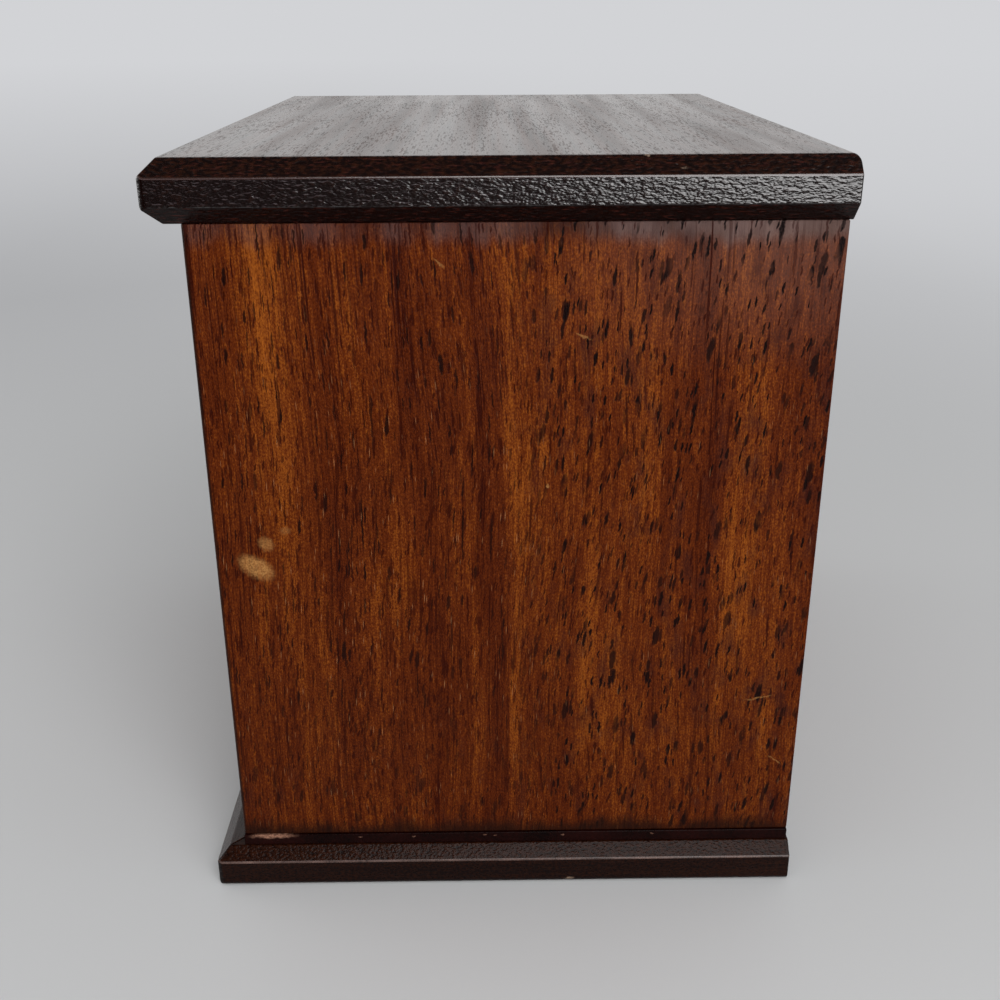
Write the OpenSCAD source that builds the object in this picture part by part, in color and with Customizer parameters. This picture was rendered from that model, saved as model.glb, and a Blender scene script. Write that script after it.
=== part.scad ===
// Musical jewelry box: a mahogany case with a hinged, chamfered lid over a lined tray, two drawers,
// and a key-wound cylinder movement that the lid starts and stops.
// Millimetres, +Z up, front towards -Y. The origin is under the middle of the whole box.

/* [Case] */
// Length of the case over its end panels
case_l = 192; // [170:1:240]
// Depth of the case from front edge to back face
case_d = 140; // [132:1:180]
// Height of the end panels
case_h = 155; // [150:1:190]
// Thickness of each end panel
panel_t = 10; // [8:0.5:14]
// Thickness of the back panel
back_t = 8; // [6:0.5:12]
// Thickness of the front rail and the drawer fronts
front_t = 10; // [8:0.5:14]
// How far the rail and drawer fronts sit behind the case's front edge
front_setback = 1; // [0.5:0.25:3]
// Radius along the end panels' front edges
edge_r = 1; // [0.5:0.25:2]
// Thickness of the tray floor and the board between the drawers
shelf_t = 4; // [3:0.5:6]
// Depth of the grooves that hold those boards
groove_d = 3; // [2:0.5:5]
// Width of the rabbet that holds the back panel
rabbet_w = 4; // [3:0.5:6]
// Width of the bevel round the rail and drawer fronts
field_bevel_w = 5; // [3:0.5:8]
// Depth of that bevel
field_bevel_d = 1.6; // [1:0.2:3]

/* [Base] */
// Thickness of the bottom board
bottom_t = 3; // [3:0.5:5]
// How far the bottom board stands proud of the end panels
bottom_over = 0.5; // [0.2:0.1:1]
// Thickness of the plinth moulding
plinth_t = 10.5; // [8:0.5:16]
// Width of the plinth moulding
plinth_w = 24; // [16:1:32]
// Overhang of the plinth at each end
plinth_end_over = 3.7; // [3.5:0.1:5]
// Overhang of the plinth at the front
plinth_front_over = 6.9; // [5:0.1:9]
// Overhang of the plinth at the back
plinth_back_over = 0.5; // [0.1:0.1:1]
// Chamfer along the plinth's upper edge
plinth_chamfer = 3.1; // [2:0.1:3.4]
// Radius of the plinth's lower edge and front corners
plinth_r = 1.5; // [0.5:0.1:2]

/* [Lid] */
// Thickness of the lid board
lid_t = 13.5; // [12:0.5:18]
// Overhang of the lid at each end
lid_end_over = 3.5; // [2:0.1:6]
// Overhang of the lid at the front
lid_front_over = 7.5; // [5:0.1:10]
// Overhang of the lid at the back
lid_back_over = 0.8; // [0.2:0.1:1]
// Chamfer along the lid's front and end edges
lid_chamfer = 3.8; // [2:0.1:5]
// Radius along the lid's back edges
lid_back_r = 1.8; // [0.5:0.1:3]
// Radius of the lid's front corners seen from above
lid_corner_r = 2; // [1:0.1:3]
// Thickness of the mirror glass
mirror_t = 2; // [1.5:0.1:3]
// Thickness of the card behind the mirror
mirror_card_t = 0.6; // [0.4:0.1:1]
// Margin from the tray's front and end walls to the mirror frame
mirror_margin = 9; // [6:0.5:16]
// Gap from the movement cover's front to the mirror frame, which leaves wood for the stop rod to meet
mirror_back_gap = 1; // [0.5:0.5:10]
// Width of the mirror frame's strips
mirror_frame_w = 7; // [5:0.5:10]
// Thickness of the mirror frame's strips
mirror_frame_t = 2.4; // [1.5:0.1:4]
// How far the frame laps over the glass
mirror_lap = 2.5; // [1.5:0.5:4]

/* [Hinges] */
// Distance of each hinge from the middle of the case
hinge_x = 58; // [40:1:66]
// Length of each hinge
hinge_l = 26; // [20:1:36]
// Thickness of the hinge leaves
hinge_leaf_t = 0.9; // [0.8:0.1:1.2]
// Radius of the hinge knuckles
hinge_knuckle_r = 1.9; // [1.7:0.1:2.4]
// Radius of the hinge pins
hinge_pin_r = 0.8; // [0.6:0.05:1]
// Depth of the hinge leaves over the back panel
hinge_leaf_w = 7; // [5.5:0.5:9]
// Length of the middle knuckle
hinge_middle_l = 8.4; // [6:0.2:10]

/* [Drawers] */
// Height of the upper drawer's opening
upper_open_h = 46; // [36:1:50]
// Gap round the drawer fronts
drawer_gap = 0.6; // [0.3:0.1:1]
// Gap between a drawer and the board that it slides on
drawer_lift = 0.2; // [0.1:0.05:0.4]
// Space behind a closed drawer
drawer_rear_gap = 4; // [2:1:8]
// Thickness of the drawer sides and back
drawer_wall_t = 6; // [4:0.5:8]
// Thickness of the drawer bottoms
drawer_bottom_t = 3; // [2:0.5:4]
// Height of the drawer bottom over the sides' lower edges
drawer_bottom_z = 3; // [2:0.5:6]
// How far the drawer sides are lower than the fronts
drawer_side_drop = 3; // [2:0.5:8]
// Depth of the grooves that hold the drawer bottoms
drawer_groove_d = 2.5; // [1.5:0.5:3]
// Length of a knob in front of its drawer
knob_l = 13; // [10:0.5:16]
// Radius of a knob's head
knob_r = 6.5; // [5:0.25:8]
// Radius of the knob screw's shank
knob_screw_r = 1.5; // [1.2:0.1:2]

/* [Tray] */
// Depth of the tray under the lid, enough for the movement
tray_depth = 49; // [48:1:60]
// Thickness of the lining
lining_t = 1; // [0.6:0.1:1.5]
// Gap from the lining's upper edge to the lid
lining_drop = 2; // [1:0.5:5]
// Thickness of the tray partitions and the movement cover's boards
partition_t = 3; // [2:0.5:4]
// Height of the tray partitions
partition_h = 26; // [18:1:32]
// Width of each ring roll
roll_w = 15; // [12:0.5:20]
// Height of each ring roll
roll_h = 14; // [10:0.5:20]
// Gap between the ring rolls
roll_gap = 0.3; // [0.3:0.1:1]

/* [Movement] */
// Thickness of the movement's bedplate
bed_t = 2.5; // [2:0.1:2.6]
// Height of the cylinder's axis over the bedplate's back face
axis_z = 10.1; // [10.1:0.1:10.6]
// Radius of the tune cylinder
cylinder_r = 6.5; // [5.5:0.1:6.6]
// Height of the pins on the cylinder
pin_h = 0.7; // [0.4:0.1:0.8]
// Number of tuned teeth on the comb
comb_teeth = 18; // [12:1:22]
// Distance between the comb's teeth
comb_pitch = 0.9; // [0.8:0.05:0.95]
// Pins on each track of the cylinder
pins_per_track = 3; // [1:1:4]
// Radius of the spring barrel
barrel_r = 9.6; // [8.5:0.1:9.8]
// Radius of the winding arbor
arbor_r = 2; // [1.5:0.1:2.4]
// Length of the winding key behind the case
key_l = 20; // [16:1:26]
// Radius of each wing of the key
key_wing_r = 6; // [5:0.5:8]
// Rise of the stop rod when the lid is open
stop_travel = 6; // [4:0.5:6]

/* [Hidden] */
$fn = 48;

// Fits and clearances
glue = 0.05;
fit = 0.1;
run = 0.05;

// Overall places
inner_l = case_l - 2 * panel_t;
knob_out = knob_l - front_setback;
front_y = knob_out - (knob_out + case_d + key_l) / 2;
back_y = front_y + case_d;
inner_back_y = back_y - back_t;
face_y = front_y + front_setback;
rail_back_y = face_y + front_t;
case_z = plinth_t + bottom_t;
top_z = case_z + case_h;
tray_z = top_z - tray_depth;
floor_z = tray_z - shelf_t;
divider_z = floor_z - upper_open_h - shelf_t;
lower_open_h = divider_z - case_z;

// Hinge pin line, just behind the lid's back edge
pin_gap = 0.2;
pin_y = back_y + lid_back_over + hinge_knuckle_r + pin_gap;
hinge_screw_inset = 5;
hinge_screw_x = hinge_l / 2 - hinge_screw_inset;
hinge_screw_y = back_y - hinge_leaf_w / 2;
hinge_screw_r = 0.9;
hinge_screw_l = 7;
hinge_head_r = 1.8;

// Screws in the bottom board
bottom_screw_r = 1.5;
bottom_screw_l = 16;
bottom_head_r = 2.8;
bottom_head_h = 1.6;
bottom_screw_x = case_l / 2 - panel_t / 2;
bottom_screw_ys = [front_y + case_d * 0.15, front_y + case_d * 0.5, front_y + case_d * 0.85];

// Gears: the barrel's crown teeth turn the drive pinion, the cylinder wheel turns the governor
crown_teeth = 36;
pinion_teeth = 12;
crown_r = 12;
pinion_r = crown_r * pinion_teeth / crown_teeth;
pinion_tip = 0.55;
pinion_root = 0.85;
crown_w = 2.4;
crown_root = 0.7;
crown_h = 1.3;
crown_base_z = axis_z - pinion_r - crown_root;
flange_t = 1.2;
wheel_module = 0.4;
wheel_teeth = 32;
gov_teeth = 8;
wheel_tip = 0.8 * wheel_module;
wheel_root = 1.25 * wheel_module;
gov_dist = wheel_module * (wheel_teeth + gov_teeth) / 2;
worm_wheel_teeth = 20;
worm_wheel_r = 5;
worm_wheel_tip = 0.4;
worm_wheel_root = 0.55;
worm_pitch = 2 * PI * worm_wheel_r / worm_wheel_teeth;
worm_core_r = 1.05;
worm_throw = 0.45;
worm_dist = worm_wheel_r + worm_core_r + run;
worm_l = 7;
worm_z0 = axis_z - worm_l / 2;
spindle_r = 0.55;
spindle_foot = 0.4;

// Barrel, with the mainspring and the arbor inside it
barrel_wall = 0.8;
arbor_z1 = 17;
barrel_z1 = arbor_z1 - 0.5;
cap_t = 1;
cap_drop = 0.2;
cap_z0 = barrel_z1 - cap_drop - cap_t;
spring_gap = 0.3;
spring_strip_t = 0.35;

// Places along the movement's length
pinion_x = crown_r - crown_w / 2 + fit;
pinion_w = crown_w - 2 * fit;
pinion_stub = 0.8;
bridge_a_x = 14.2;
bridge_b_x = 34.4;
bridge_t = 1.5;
bridge_half_w = 4;
bridge_rise = 3.4;
gov_bridge_w = 2.6;
drum_x0 = 16.6;
drum_x1 = 33.6;
drum_end_gap = 0.8;
wheel_x = bridge_b_x + bridge_t + drum_end_gap;
wheel_w = 1.4;
worm_wheel_gap = 0.9;
worm_wheel_x = wheel_x + wheel_w + worm_wheel_gap;
worm_wheel_w = 1;
worm_x = worm_wheel_x + worm_wheel_w / 2;
post_gap = 2.6;
post_x = worm_x + post_gap;
post_t = 1.5;
cyl_arbor_r = 1;

// Comb
comb_tip_gap = 0.25;
comb_t = 0.5;
comb_z = axis_z - comb_t / 2;
comb_root_y = 13.2;
comb_back_y = 19.5;
comb_base_t = 1.2;
comb_slope = 2.2;
comb_screw_r = 1;
comb_screw_l = 5;
comb_screw_head_h = 1.3;

// Air brake over its cock, and the stop rod beside it
cock_clear = 0.4;
cock_z = axis_z + worm_wheel_r + worm_wheel_tip + cock_clear;
cock_t = 1;
cock_half_w = 2;
fly_gap = 0.7;
fly_z = cock_z + cock_t + fly_gap;
fly_h = 3.8;
fly_r = 4.9;
fly_t = 0.5;
fly_hub_r = 1.2;
fly_clear = 0.4;
rod_r = 0.7;
rod_z = fly_z + fly_h / 2;
rod_foot = 1.3;
rod_lid_gap = 0.3;
rod_hole_gap = 0.5;
guide_x0 = worm_x + fly_r + fly_clear;
rod_x = guide_x0 + rod_r + fly_clear;
guide_wall = 1.6;
guide_t = 2;
guide_arm_h = 2.4;
finger_r = 0.5;
finger_y = fly_r + fly_clear + finger_r - gov_dist - worm_dist;

// Bedplate, as large as the train on it
bed_rim = 1.8;
bed_end = 1.4;
bed_edge = 0.5;
bed_left = crown_r + crown_w / 2 + bed_rim;
bed_right = post_x + post_t + bed_end;
bed_down = gov_dist + worm_dist + 2 * cock_half_w + bed_end;
bed_up = comb_back_y + bed_edge;
bed_corner_r = 2.5;
bed_side_gap = 1.5;
bed_floor_gap = 2;
bed_screw_r = 1.4;
bed_screw_l = 6;
bed_screw_head_h = 1.4;
bed_screw_inset = 4;
bed_screws = [
    [bed_screw_inset - bed_left, bed_up - bed_screw_inset],
    [bed_screw_inset - bed_left, bed_screw_inset - bed_down],
    [bed_right - bed_screw_inset, bed_up - bed_screw_inset]
];
rod_y0 = -bed_down - rod_foot;

// Movement place: its own x runs along the case, its y runs up and its z runs towards the front
mv_x = -inner_l / 2 + bed_left + bed_side_gap;
mv_z = tray_z + bed_down + bed_floor_gap;
cover_side_gap = 1.5;
cover_front_gap = 0.9;
cover_top_gap = 0.5;
cover_x1 = mv_x + rod_x + guide_wall + cover_side_gap;
cover_front_y = inner_back_y - rod_z - guide_wall - cover_front_gap;
cover_top_z = mv_z + bed_up + cover_top_gap + partition_t;

// Winding key
key_hole_r = 5;
key_gap = 1;
key_hub_r = 3.2;
key_hub_l = 8;
key_t = 1.8;
arbor_collar_r = 3.2;
arbor_collar_t = 1.5;

mahogany = "#7a3a18";
espresso = "#2a1812";
ply = "#b08a5c";
velvet = "#6e1420";
brass = "#c9a24a";
steel = "#b9bcc0";
zinc = "#9a9da2";

// Shapes that several pieces share

module block(lo, hi) {
    translate(lo) cube(hi - lo);
}

module along_x(x0, x1) {
    translate([x0, 0, 0]) rotate([90, 0, 90]) linear_extrude(x1 - x0) children();
}

module along_y(y0, y1) {
    translate([0, y1, 0]) rotate([90, 0, 0]) linear_extrude(y1 - y0) children();
}

module both_sides() {
    children();
    mirror([1, 0, 0]) children();
}

module in_movement() {
    translate([mv_x, inner_back_y, mv_z]) rotate([90, 0, 0]) children();
}

// A flat-headed screw that points along -Z with its head's top at z = 0
module flat_screw(head_r, head_h, shank_r, length, grow = 0) {
    translate([0, 0, -head_h]) cylinder(r1 = shank_r + grow, r2 = head_r + grow, h = head_h);
    translate([0, 0, -length]) cylinder(r = shank_r + grow, h = length - head_h + glue);
}

// A board whose front face has a bevelled border, standing on z0 between x = -l/2 and l/2
module fielded_board(l, z0, z1) {
    intersection() {
        along_x(-l / 2, l / 2) polygon([
            [face_y, z0 + field_bevel_w], [face_y + field_bevel_d, z0], [rail_back_y, z0],
            [rail_back_y, z1], [face_y + field_bevel_d, z1], [face_y, z1 - field_bevel_w]
        ]);
        translate([0, 0, z0]) linear_extrude(z1 - z0) polygon([
            [-l / 2 + field_bevel_w, face_y], [-l / 2, face_y + field_bevel_d], [-l / 2, rail_back_y],
            [l / 2, rail_back_y], [l / 2, face_y + field_bevel_d], [l / 2 - field_bevel_w, face_y]
        ]);
    }
}

// An outline with round front corners, from the front edge y0 back to y1
module round_front(l, y0, y1, r) {
    translate([-l / 2, y0 + r]) square([l, y1 - y0 - r]);
    translate([-l / 2 + r, y0]) square([l - 2 * r, r]);
    for (side = [-1, 1]) translate([side * (l / 2 - r), y0 + r]) circle(r);
}

// Straight-flanked gear teeth; half widths are shares of the tooth pitch
function gear_outline(teeth, pitch_r, tip_r, root_r, at_root, at_pitch, at_tip, turn = 0) = [
    for (i = [0 : teeth - 1])
        for (p = [
            [root_r, -at_root], [pitch_r, -at_pitch], [tip_r, -at_tip],
            [tip_r, at_tip], [pitch_r, at_pitch], [root_r, at_root]
        ])
            let (a = turn + (i + p[1]) * 360 / teeth)
            p[0] * [cos(a), sin(a)]
];

// Case

module groove(z) {
    block(
        [inner_l / 2 - glue, face_y, z - fit / 2],
        [inner_l / 2 + groove_d, inner_back_y, z + shelf_t + fit / 2]
    );
}

module bottom_screw_places() {
    for (y = bottom_screw_ys) translate([bottom_screw_x, y, plinth_t]) mirror([0, 0, 1]) children();
}

module end_panel() {
    difference() {
        translate([0, 0, case_z]) linear_extrude(case_h) intersection() {
            round_front(case_l, front_y, back_y, edge_r);
            translate([inner_l / 2, front_y]) square([panel_t, case_d]);
        }
        groove(divider_z);
        groove(floor_z);
        block(
            [inner_l / 2 - glue, inner_back_y, case_z - 1],
            [inner_l / 2 + rabbet_w, back_y + 1, top_z + 1]
        );
        bottom_screw_places() flat_screw(bottom_head_r, bottom_head_h, bottom_screw_r, bottom_screw_l, glue);
    }
}

module end_panel_right() {
    color(mahogany) end_panel();
}

module end_panel_left() {
    color(mahogany) mirror([1, 0, 0]) end_panel();
}

module back_panel() {
    color(mahogany) difference() {
        block(
            [-inner_l / 2 - rabbet_w + fit, inner_back_y, case_z],
            [inner_l / 2 + rabbet_w - fit, back_y, top_z]
        );
        hinge_places() {
            block(
                [-hinge_l / 2 - glue, back_y - hinge_leaf_w - glue, top_z - hinge_leaf_t - glue],
                [hinge_l / 2 + glue, back_y + 1, top_z + 1]
            );
            case_screw_places() flat_screw(hinge_head_r, hinge_leaf_t, hinge_screw_r, hinge_screw_l, glue);
        }
        in_movement() {
            translate([0, 0, -back_t - 1]) cylinder(r = key_hole_r, h = back_t + 2);
            for (p = bed_screws) translate([p[0], p[1], -bed_screw_l - glue])
                cylinder(r = bed_screw_r + glue, h = bed_screw_l + 1);
        }
    }
}

module front_rail() {
    color(mahogany) fielded_board(inner_l - 2 * glue, tray_z, top_z);
}

module shelf(z) {
    block(
        [-inner_l / 2 - groove_d + fit, face_y, z],
        [inner_l / 2 + groove_d - fit, inner_back_y, z + shelf_t]
    );
}

module tray_floor() {
    color(mahogany) shelf(floor_z);
}

module drawer_divider() {
    color(mahogany) shelf(divider_z);
}

module bottom_board() {
    color(espresso) difference() {
        block(
            [-case_l / 2 - bottom_over, front_y, plinth_t],
            [case_l / 2 + bottom_over, back_y, case_z]
        );
        both_sides() bottom_screw_places()
            flat_screw(bottom_head_r, bottom_head_h, bottom_screw_r, bottom_screw_l, glue);
    }
}

module bottom_screws() {
    color(steel) both_sides() bottom_screw_places()
        flat_screw(bottom_head_r, bottom_head_h, bottom_screw_r, bottom_screw_l);
}

// Plinth: one moulded frame, mitred at the front corners

plinth_x = case_l / 2 + plinth_end_over;
plinth_y0 = front_y - plinth_front_over;
plinth_y1 = back_y + plinth_back_over;

// Moulding profile from its outer face at u = 0 inwards
module plinth_profile(width) {
    difference() {
        polygon([
            [0, 0], [width, 0], [width, plinth_t], [plinth_chamfer, plinth_t], [0, plinth_t - plinth_chamfer]
        ]);
        difference() {
            translate([-1, -1]) square(plinth_r + 1);
            translate([plinth_r, plinth_r]) circle(plinth_r);
        }
    }
}

module plinth_frame() {
    intersection() {
        along_x(-plinth_x, plinth_x) translate([plinth_y0, 0]) plinth_profile(plinth_y1 - plinth_y0);
        along_y(plinth_y0, plinth_y1) intersection() {
            translate([-plinth_x, 0]) plinth_profile(2 * plinth_x);
            translate([plinth_x, 0]) mirror([1, 0]) plinth_profile(2 * plinth_x);
        }
        linear_extrude(plinth_t) round_front(2 * plinth_x, plinth_y0, plinth_y1, plinth_r);
    }
}

module plinth_piece(outline) {
    color(espresso) intersection() {
        plinth_frame();
        translate([0, 0, -1]) linear_extrude(plinth_t + 2) polygon(outline);
    }
}

module plinth_end() {
    plinth_piece([
        [plinth_x + glue, plinth_y0], [plinth_x + glue, plinth_y1],
        [plinth_x - plinth_w, plinth_y1], [plinth_x - plinth_w, plinth_y0 + plinth_w + glue]
    ]);
}

module plinth_front() {
    plinth_piece([
        [-plinth_x, plinth_y0], [plinth_x, plinth_y0],
        [plinth_x - plinth_w, plinth_y0 + plinth_w], [-plinth_x + plinth_w, plinth_y0 + plinth_w]
    ]);
}

module plinth_back() {
    color(espresso) block(
        [-plinth_x + plinth_w + glue, plinth_y1 - plinth_w, 0],
        [plinth_x - plinth_w - glue, plinth_y1, plinth_t]
    );
}

module plinth_right() {
    plinth_end();
}

module plinth_left() {
    mirror([1, 0, 0]) plinth_end();
}

// Hinges

module hinge_places() {
    for (side = [-1, 1]) translate([side * hinge_x, 0, 0]) children();
}

module hinge_screw_places() {
    for (side = [-1, 1]) translate([side * hinge_screw_x, hinge_screw_y, top_z]) children();
}

module case_screw_places() {
    hinge_screw_places() translate([0, 0, -run]) children();
}

module lid_screw_places() {
    hinge_screw_places() translate([0, 0, run]) mirror([0, 0, 1]) children();
}

// One knuckle from x0 to x1 with the strip that joins it to its leaf
module knuckle(x0, x1, z0, z1) {
    difference() {
        union() {
            translate([x0, pin_y, top_z]) rotate([0, 90, 0]) cylinder(r = hinge_knuckle_r, h = x1 - x0);
            block([x0, back_y, z0], [x1, pin_y, z1]);
        }
        translate([x0 - 1, pin_y, top_z]) rotate([0, 90, 0]) cylinder(r = hinge_pin_r + run, h = x1 - x0 + 2);
    }
}

module leaf_plate(z0, z1) {
    block([-hinge_l / 2, back_y - hinge_leaf_w, z0], [hinge_l / 2, back_y + pin_gap, z1]);
}

module hinge_case_leaves() {
    z0 = top_z - hinge_leaf_t;
    knuckle_x = hinge_middle_l / 2 + 0.2;
    color(brass) hinge_places() difference() {
        union() {
            leaf_plate(z0, top_z);
            both_sides() knuckle(knuckle_x, hinge_l / 2, z0, top_z);
        }
        case_screw_places() flat_screw(hinge_head_r, hinge_leaf_t, hinge_screw_r, hinge_screw_l, glue);
    }
}

module hinge_lid_leaves() {
    z1 = top_z + hinge_leaf_t;
    color(brass) hinge_places() difference() {
        union() {
            leaf_plate(top_z, z1);
            knuckle(-hinge_middle_l / 2, hinge_middle_l / 2, top_z, z1);
        }
        lid_screw_places() flat_screw(hinge_head_r, hinge_leaf_t, hinge_screw_r, hinge_screw_l, glue);
    }
}

module hinge_pins() {
    color(steel) hinge_places()
        translate([-hinge_l / 2, pin_y, top_z]) rotate([0, 90, 0]) cylinder(r = hinge_pin_r, h = hinge_l);
}

module hinge_case_screws() {
    color(brass) hinge_places() case_screw_places()
        flat_screw(hinge_head_r, hinge_leaf_t, hinge_screw_r, hinge_screw_l);
}

module hinge_lid_screws() {
    color(brass) hinge_places() lid_screw_places()
        flat_screw(hinge_head_r, hinge_leaf_t, hinge_screw_r, hinge_screw_l);
}

// Lid

lid_x = case_l / 2 + lid_end_over;
lid_y0 = front_y - lid_front_over;
lid_y1 = back_y + lid_back_over;
lid_z1 = top_z + lid_t;
frame_x = inner_l / 2 - mirror_margin;
frame_y0 = rail_back_y + mirror_margin;
frame_y1 = cover_front_y - partition_t - mirror_back_gap;
glass_inset = mirror_frame_w - mirror_lap;
recess_d = mirror_card_t + mirror_t;

module lid_end_profile() {
    c = lid_chamfer;
    polygon([
        [-lid_x + c, top_z], [lid_x - c, top_z], [lid_x, top_z + c], [lid_x, lid_z1 - c],
        [lid_x - c, lid_z1], [-lid_x + c, lid_z1], [-lid_x, lid_z1 - c], [-lid_x, top_z + c]
    ]);
}

module lid_side_profile() {
    c = lid_chamfer;
    r = lid_back_r;
    polygon([
        [lid_y0 + c, top_z], [lid_y1, top_z], [lid_y1, lid_z1 - r], [lid_y1 - r, lid_z1],
        [lid_y0 + c, lid_z1], [lid_y0, lid_z1 - c], [lid_y0, top_z + c]
    ]);
    intersection() {
        translate([lid_y1 - r, lid_z1 - r]) circle(r);
        translate([lid_y1 - r, lid_z1 - r]) square(r);
    }
}

module mirror_slab(inset, z0, z1) {
    block([-frame_x + inset, frame_y0 + inset, z0], [frame_x - inset, frame_y1 - inset, z1]);
}

module lid_board() {
    color(espresso) difference() {
        intersection() {
            along_x(-lid_x, lid_x) lid_side_profile();
            along_y(lid_y0, lid_y1) lid_end_profile();
            translate([0, 0, top_z]) linear_extrude(lid_t)
                round_front(2 * lid_x, lid_y0, lid_y1, lid_corner_r);
        }
        mirror_slab(glass_inset - fit, top_z - 1, top_z + recess_d + fit);
        hinge_places() {
            block(
                [-hinge_l / 2 - glue, back_y - hinge_leaf_w - glue, top_z - 1],
                [hinge_l / 2 + glue, lid_y1 + 1, top_z + hinge_leaf_t + glue]
            );
            lid_screw_places() flat_screw(hinge_head_r, hinge_leaf_t, hinge_screw_r, hinge_screw_l, glue);
        }
    }
}

module mirror_card() {
    color("#3a3430") mirror_slab(glass_inset, top_z + mirror_t, top_z + recess_d);
}

module mirror_glass() {
    color("#c8d2d6") mirror_slab(glass_inset, top_z, top_z + mirror_t);
}

module frame_strip(outline) {
    translate([0, 0, top_z - mirror_frame_t]) linear_extrude(mirror_frame_t) polygon(outline);
}

// Four strips, mitred at the corners with a glue line between them
module mirror_frame() {
    w = mirror_frame_w;
    color(espresso) {
        both_sides() frame_strip([
            [frame_x, frame_y0 + glue], [frame_x, frame_y1 - glue],
            [frame_x - w, frame_y1 - w - glue], [frame_x - w, frame_y0 + w + glue]
        ]);
        frame_strip([
            [-frame_x + glue, frame_y0], [frame_x - glue, frame_y0],
            [frame_x - w - glue, frame_y0 + w], [-frame_x + w + glue, frame_y0 + w]
        ]);
        frame_strip([
            [-frame_x + glue, frame_y1], [frame_x - glue, frame_y1],
            [frame_x - w - glue, frame_y1 - w], [-frame_x + w + glue, frame_y1 - w]
        ]);
    }
}

// Tray under the lid

lining_z1 = top_z - lining_drop;
tray_x = inner_l / 2 - lining_t;
tray_y0 = rail_back_y + lining_t;
tray_y1 = inner_back_y - lining_t;
divide_x = cover_x1 + partition_t + glue;
tray_base_z = tray_z + lining_t;

module tray_lining() {
    z1 = lining_z1;
    color(velvet) {
        lining_floor();
        block([-inner_l / 2, rail_back_y, tray_z], [inner_l / 2, tray_y0, z1]);
        block([tray_x, rail_back_y, tray_z], [inner_l / 2, inner_back_y, z1]);
        block([-inner_l / 2, rail_back_y, tray_z], [-tray_x, cover_front_y - partition_t - glue, z1]);
        block([divide_x, tray_y1, tray_z], [inner_l / 2, inner_back_y, z1]);
    }
}

// The lining's floor leaves the movement's corner bare
module lining_floor() {
    block(
        [-inner_l / 2, rail_back_y, tray_z],
        [inner_l / 2, cover_front_y - partition_t - glue, tray_base_z]
    );
    block([divide_x, rail_back_y, tray_z], [inner_l / 2, inner_back_y, tray_base_z]);
}

cross_y = (tray_y0 + tray_y1 - partition_t) / 2;

module tray_partitions() {
    z0 = tray_base_z + glue;
    z1 = tray_base_z + partition_h;
    color(velvet) {
        block([divide_x + glue, tray_y0 + glue, z0], [divide_x + partition_t, tray_y1 - glue, z1]);
        block(
            [divide_x + partition_t + glue, cross_y, z0],
            [tray_x - glue, cross_y + partition_t, z1]
        );
    }
}

module ring_rolls() {
    x0 = -tray_x + roll_gap;
    x1 = divide_x - roll_gap;
    y0 = tray_y0 + roll_gap;
    room = cover_front_y - partition_t - y0 - roll_gap;
    count = floor(room / (roll_w + roll_gap));
    step = room / count;
    flat_h = roll_h - roll_w / 2;
    color(velvet) for (i = [0 : count - 1])
        along_x(x0, x1) translate([y0 + (i + 0.5) * step, tray_base_z + glue]) {
            translate([-roll_w / 2, 0]) square([roll_w, flat_h]);
            intersection() {
                translate([0, flat_h]) circle(roll_w / 2);
                translate([-roll_w / 2, 0]) square([roll_w, roll_h]);
            }
        }
}

// Boards round the movement: a front, a side and a top with a hole for the stop rod
module movement_cover() {
    x0 = -inner_l / 2 + glue;
    y0 = cover_front_y - partition_t;
    z0 = tray_z + glue;
    z1 = cover_top_z - partition_t;
    color(velvet) {
        block([x0, y0, z0], [cover_x1 + partition_t, cover_front_y, z1 - glue]);
        block([cover_x1, cover_front_y + glue, z0], [cover_x1 + partition_t, inner_back_y - glue, z1 - glue]);
        difference() {
            block([x0, y0, z1], [cover_x1 + partition_t, inner_back_y - glue, cover_top_z]);
            in_movement() translate([rod_x, 0, rod_z]) rotate([-90, 0, 0])
                cylinder(r = rod_r + rod_hole_gap, h = top_z);
        }
    }
}

// Drawers: z0 is the board that the drawer slides on, open_h the height of its opening

drawer_l = inner_l - 2 * drawer_gap;
drawer_y1 = inner_back_y - drawer_rear_gap;
knob_screw_bite = 4;
knob_screw_l = front_t + knob_screw_bite;
knob_hole_l = 7;
knob_foot_t = 1.2;
screw_head_r = 3;
screw_head_h = 1.8;

module knob_place(z0, open_h) {
    translate([0, face_y, z0 + open_h / 2]) rotate([90, 0, 0]) children();
}

module drawer_front(z0, open_h) {
    color(mahogany) difference() {
        fielded_board(drawer_l, z0 + drawer_gap, z0 + open_h - drawer_gap);
        knob_place(z0, open_h) {
            translate([0, 0, -front_t - 1]) cylinder(r = knob_screw_r + fit, h = front_t + 2);
            translate([0, 0, -front_t - 1]) cylinder(r = screw_head_r + fit, h = screw_head_h + 1 + fit);
        }
        bottom_slab(z0, glue);
    }
}

module bottom_slab(z0, grow = 0) {
    x1 = drawer_l / 2 - drawer_wall_t + drawer_groove_d;
    z = z0 + drawer_lift + drawer_bottom_z;
    block(
        [-x1 - grow, rail_back_y - drawer_groove_d - grow, z - grow],
        [x1 + grow, drawer_y1 + grow, z + drawer_bottom_t + grow]
    );
}

module drawer_bottom(z0) {
    color(ply) bottom_slab(z0);
}

module drawer_sides(z0, open_h) {
    color(mahogany) both_sides() difference() {
        block(
            [drawer_l / 2 - drawer_wall_t, rail_back_y + glue, z0 + drawer_lift],
            [drawer_l / 2, drawer_y1, z0 + open_h - drawer_gap - drawer_side_drop]
        );
        bottom_slab(z0, glue);
    }
}

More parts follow.
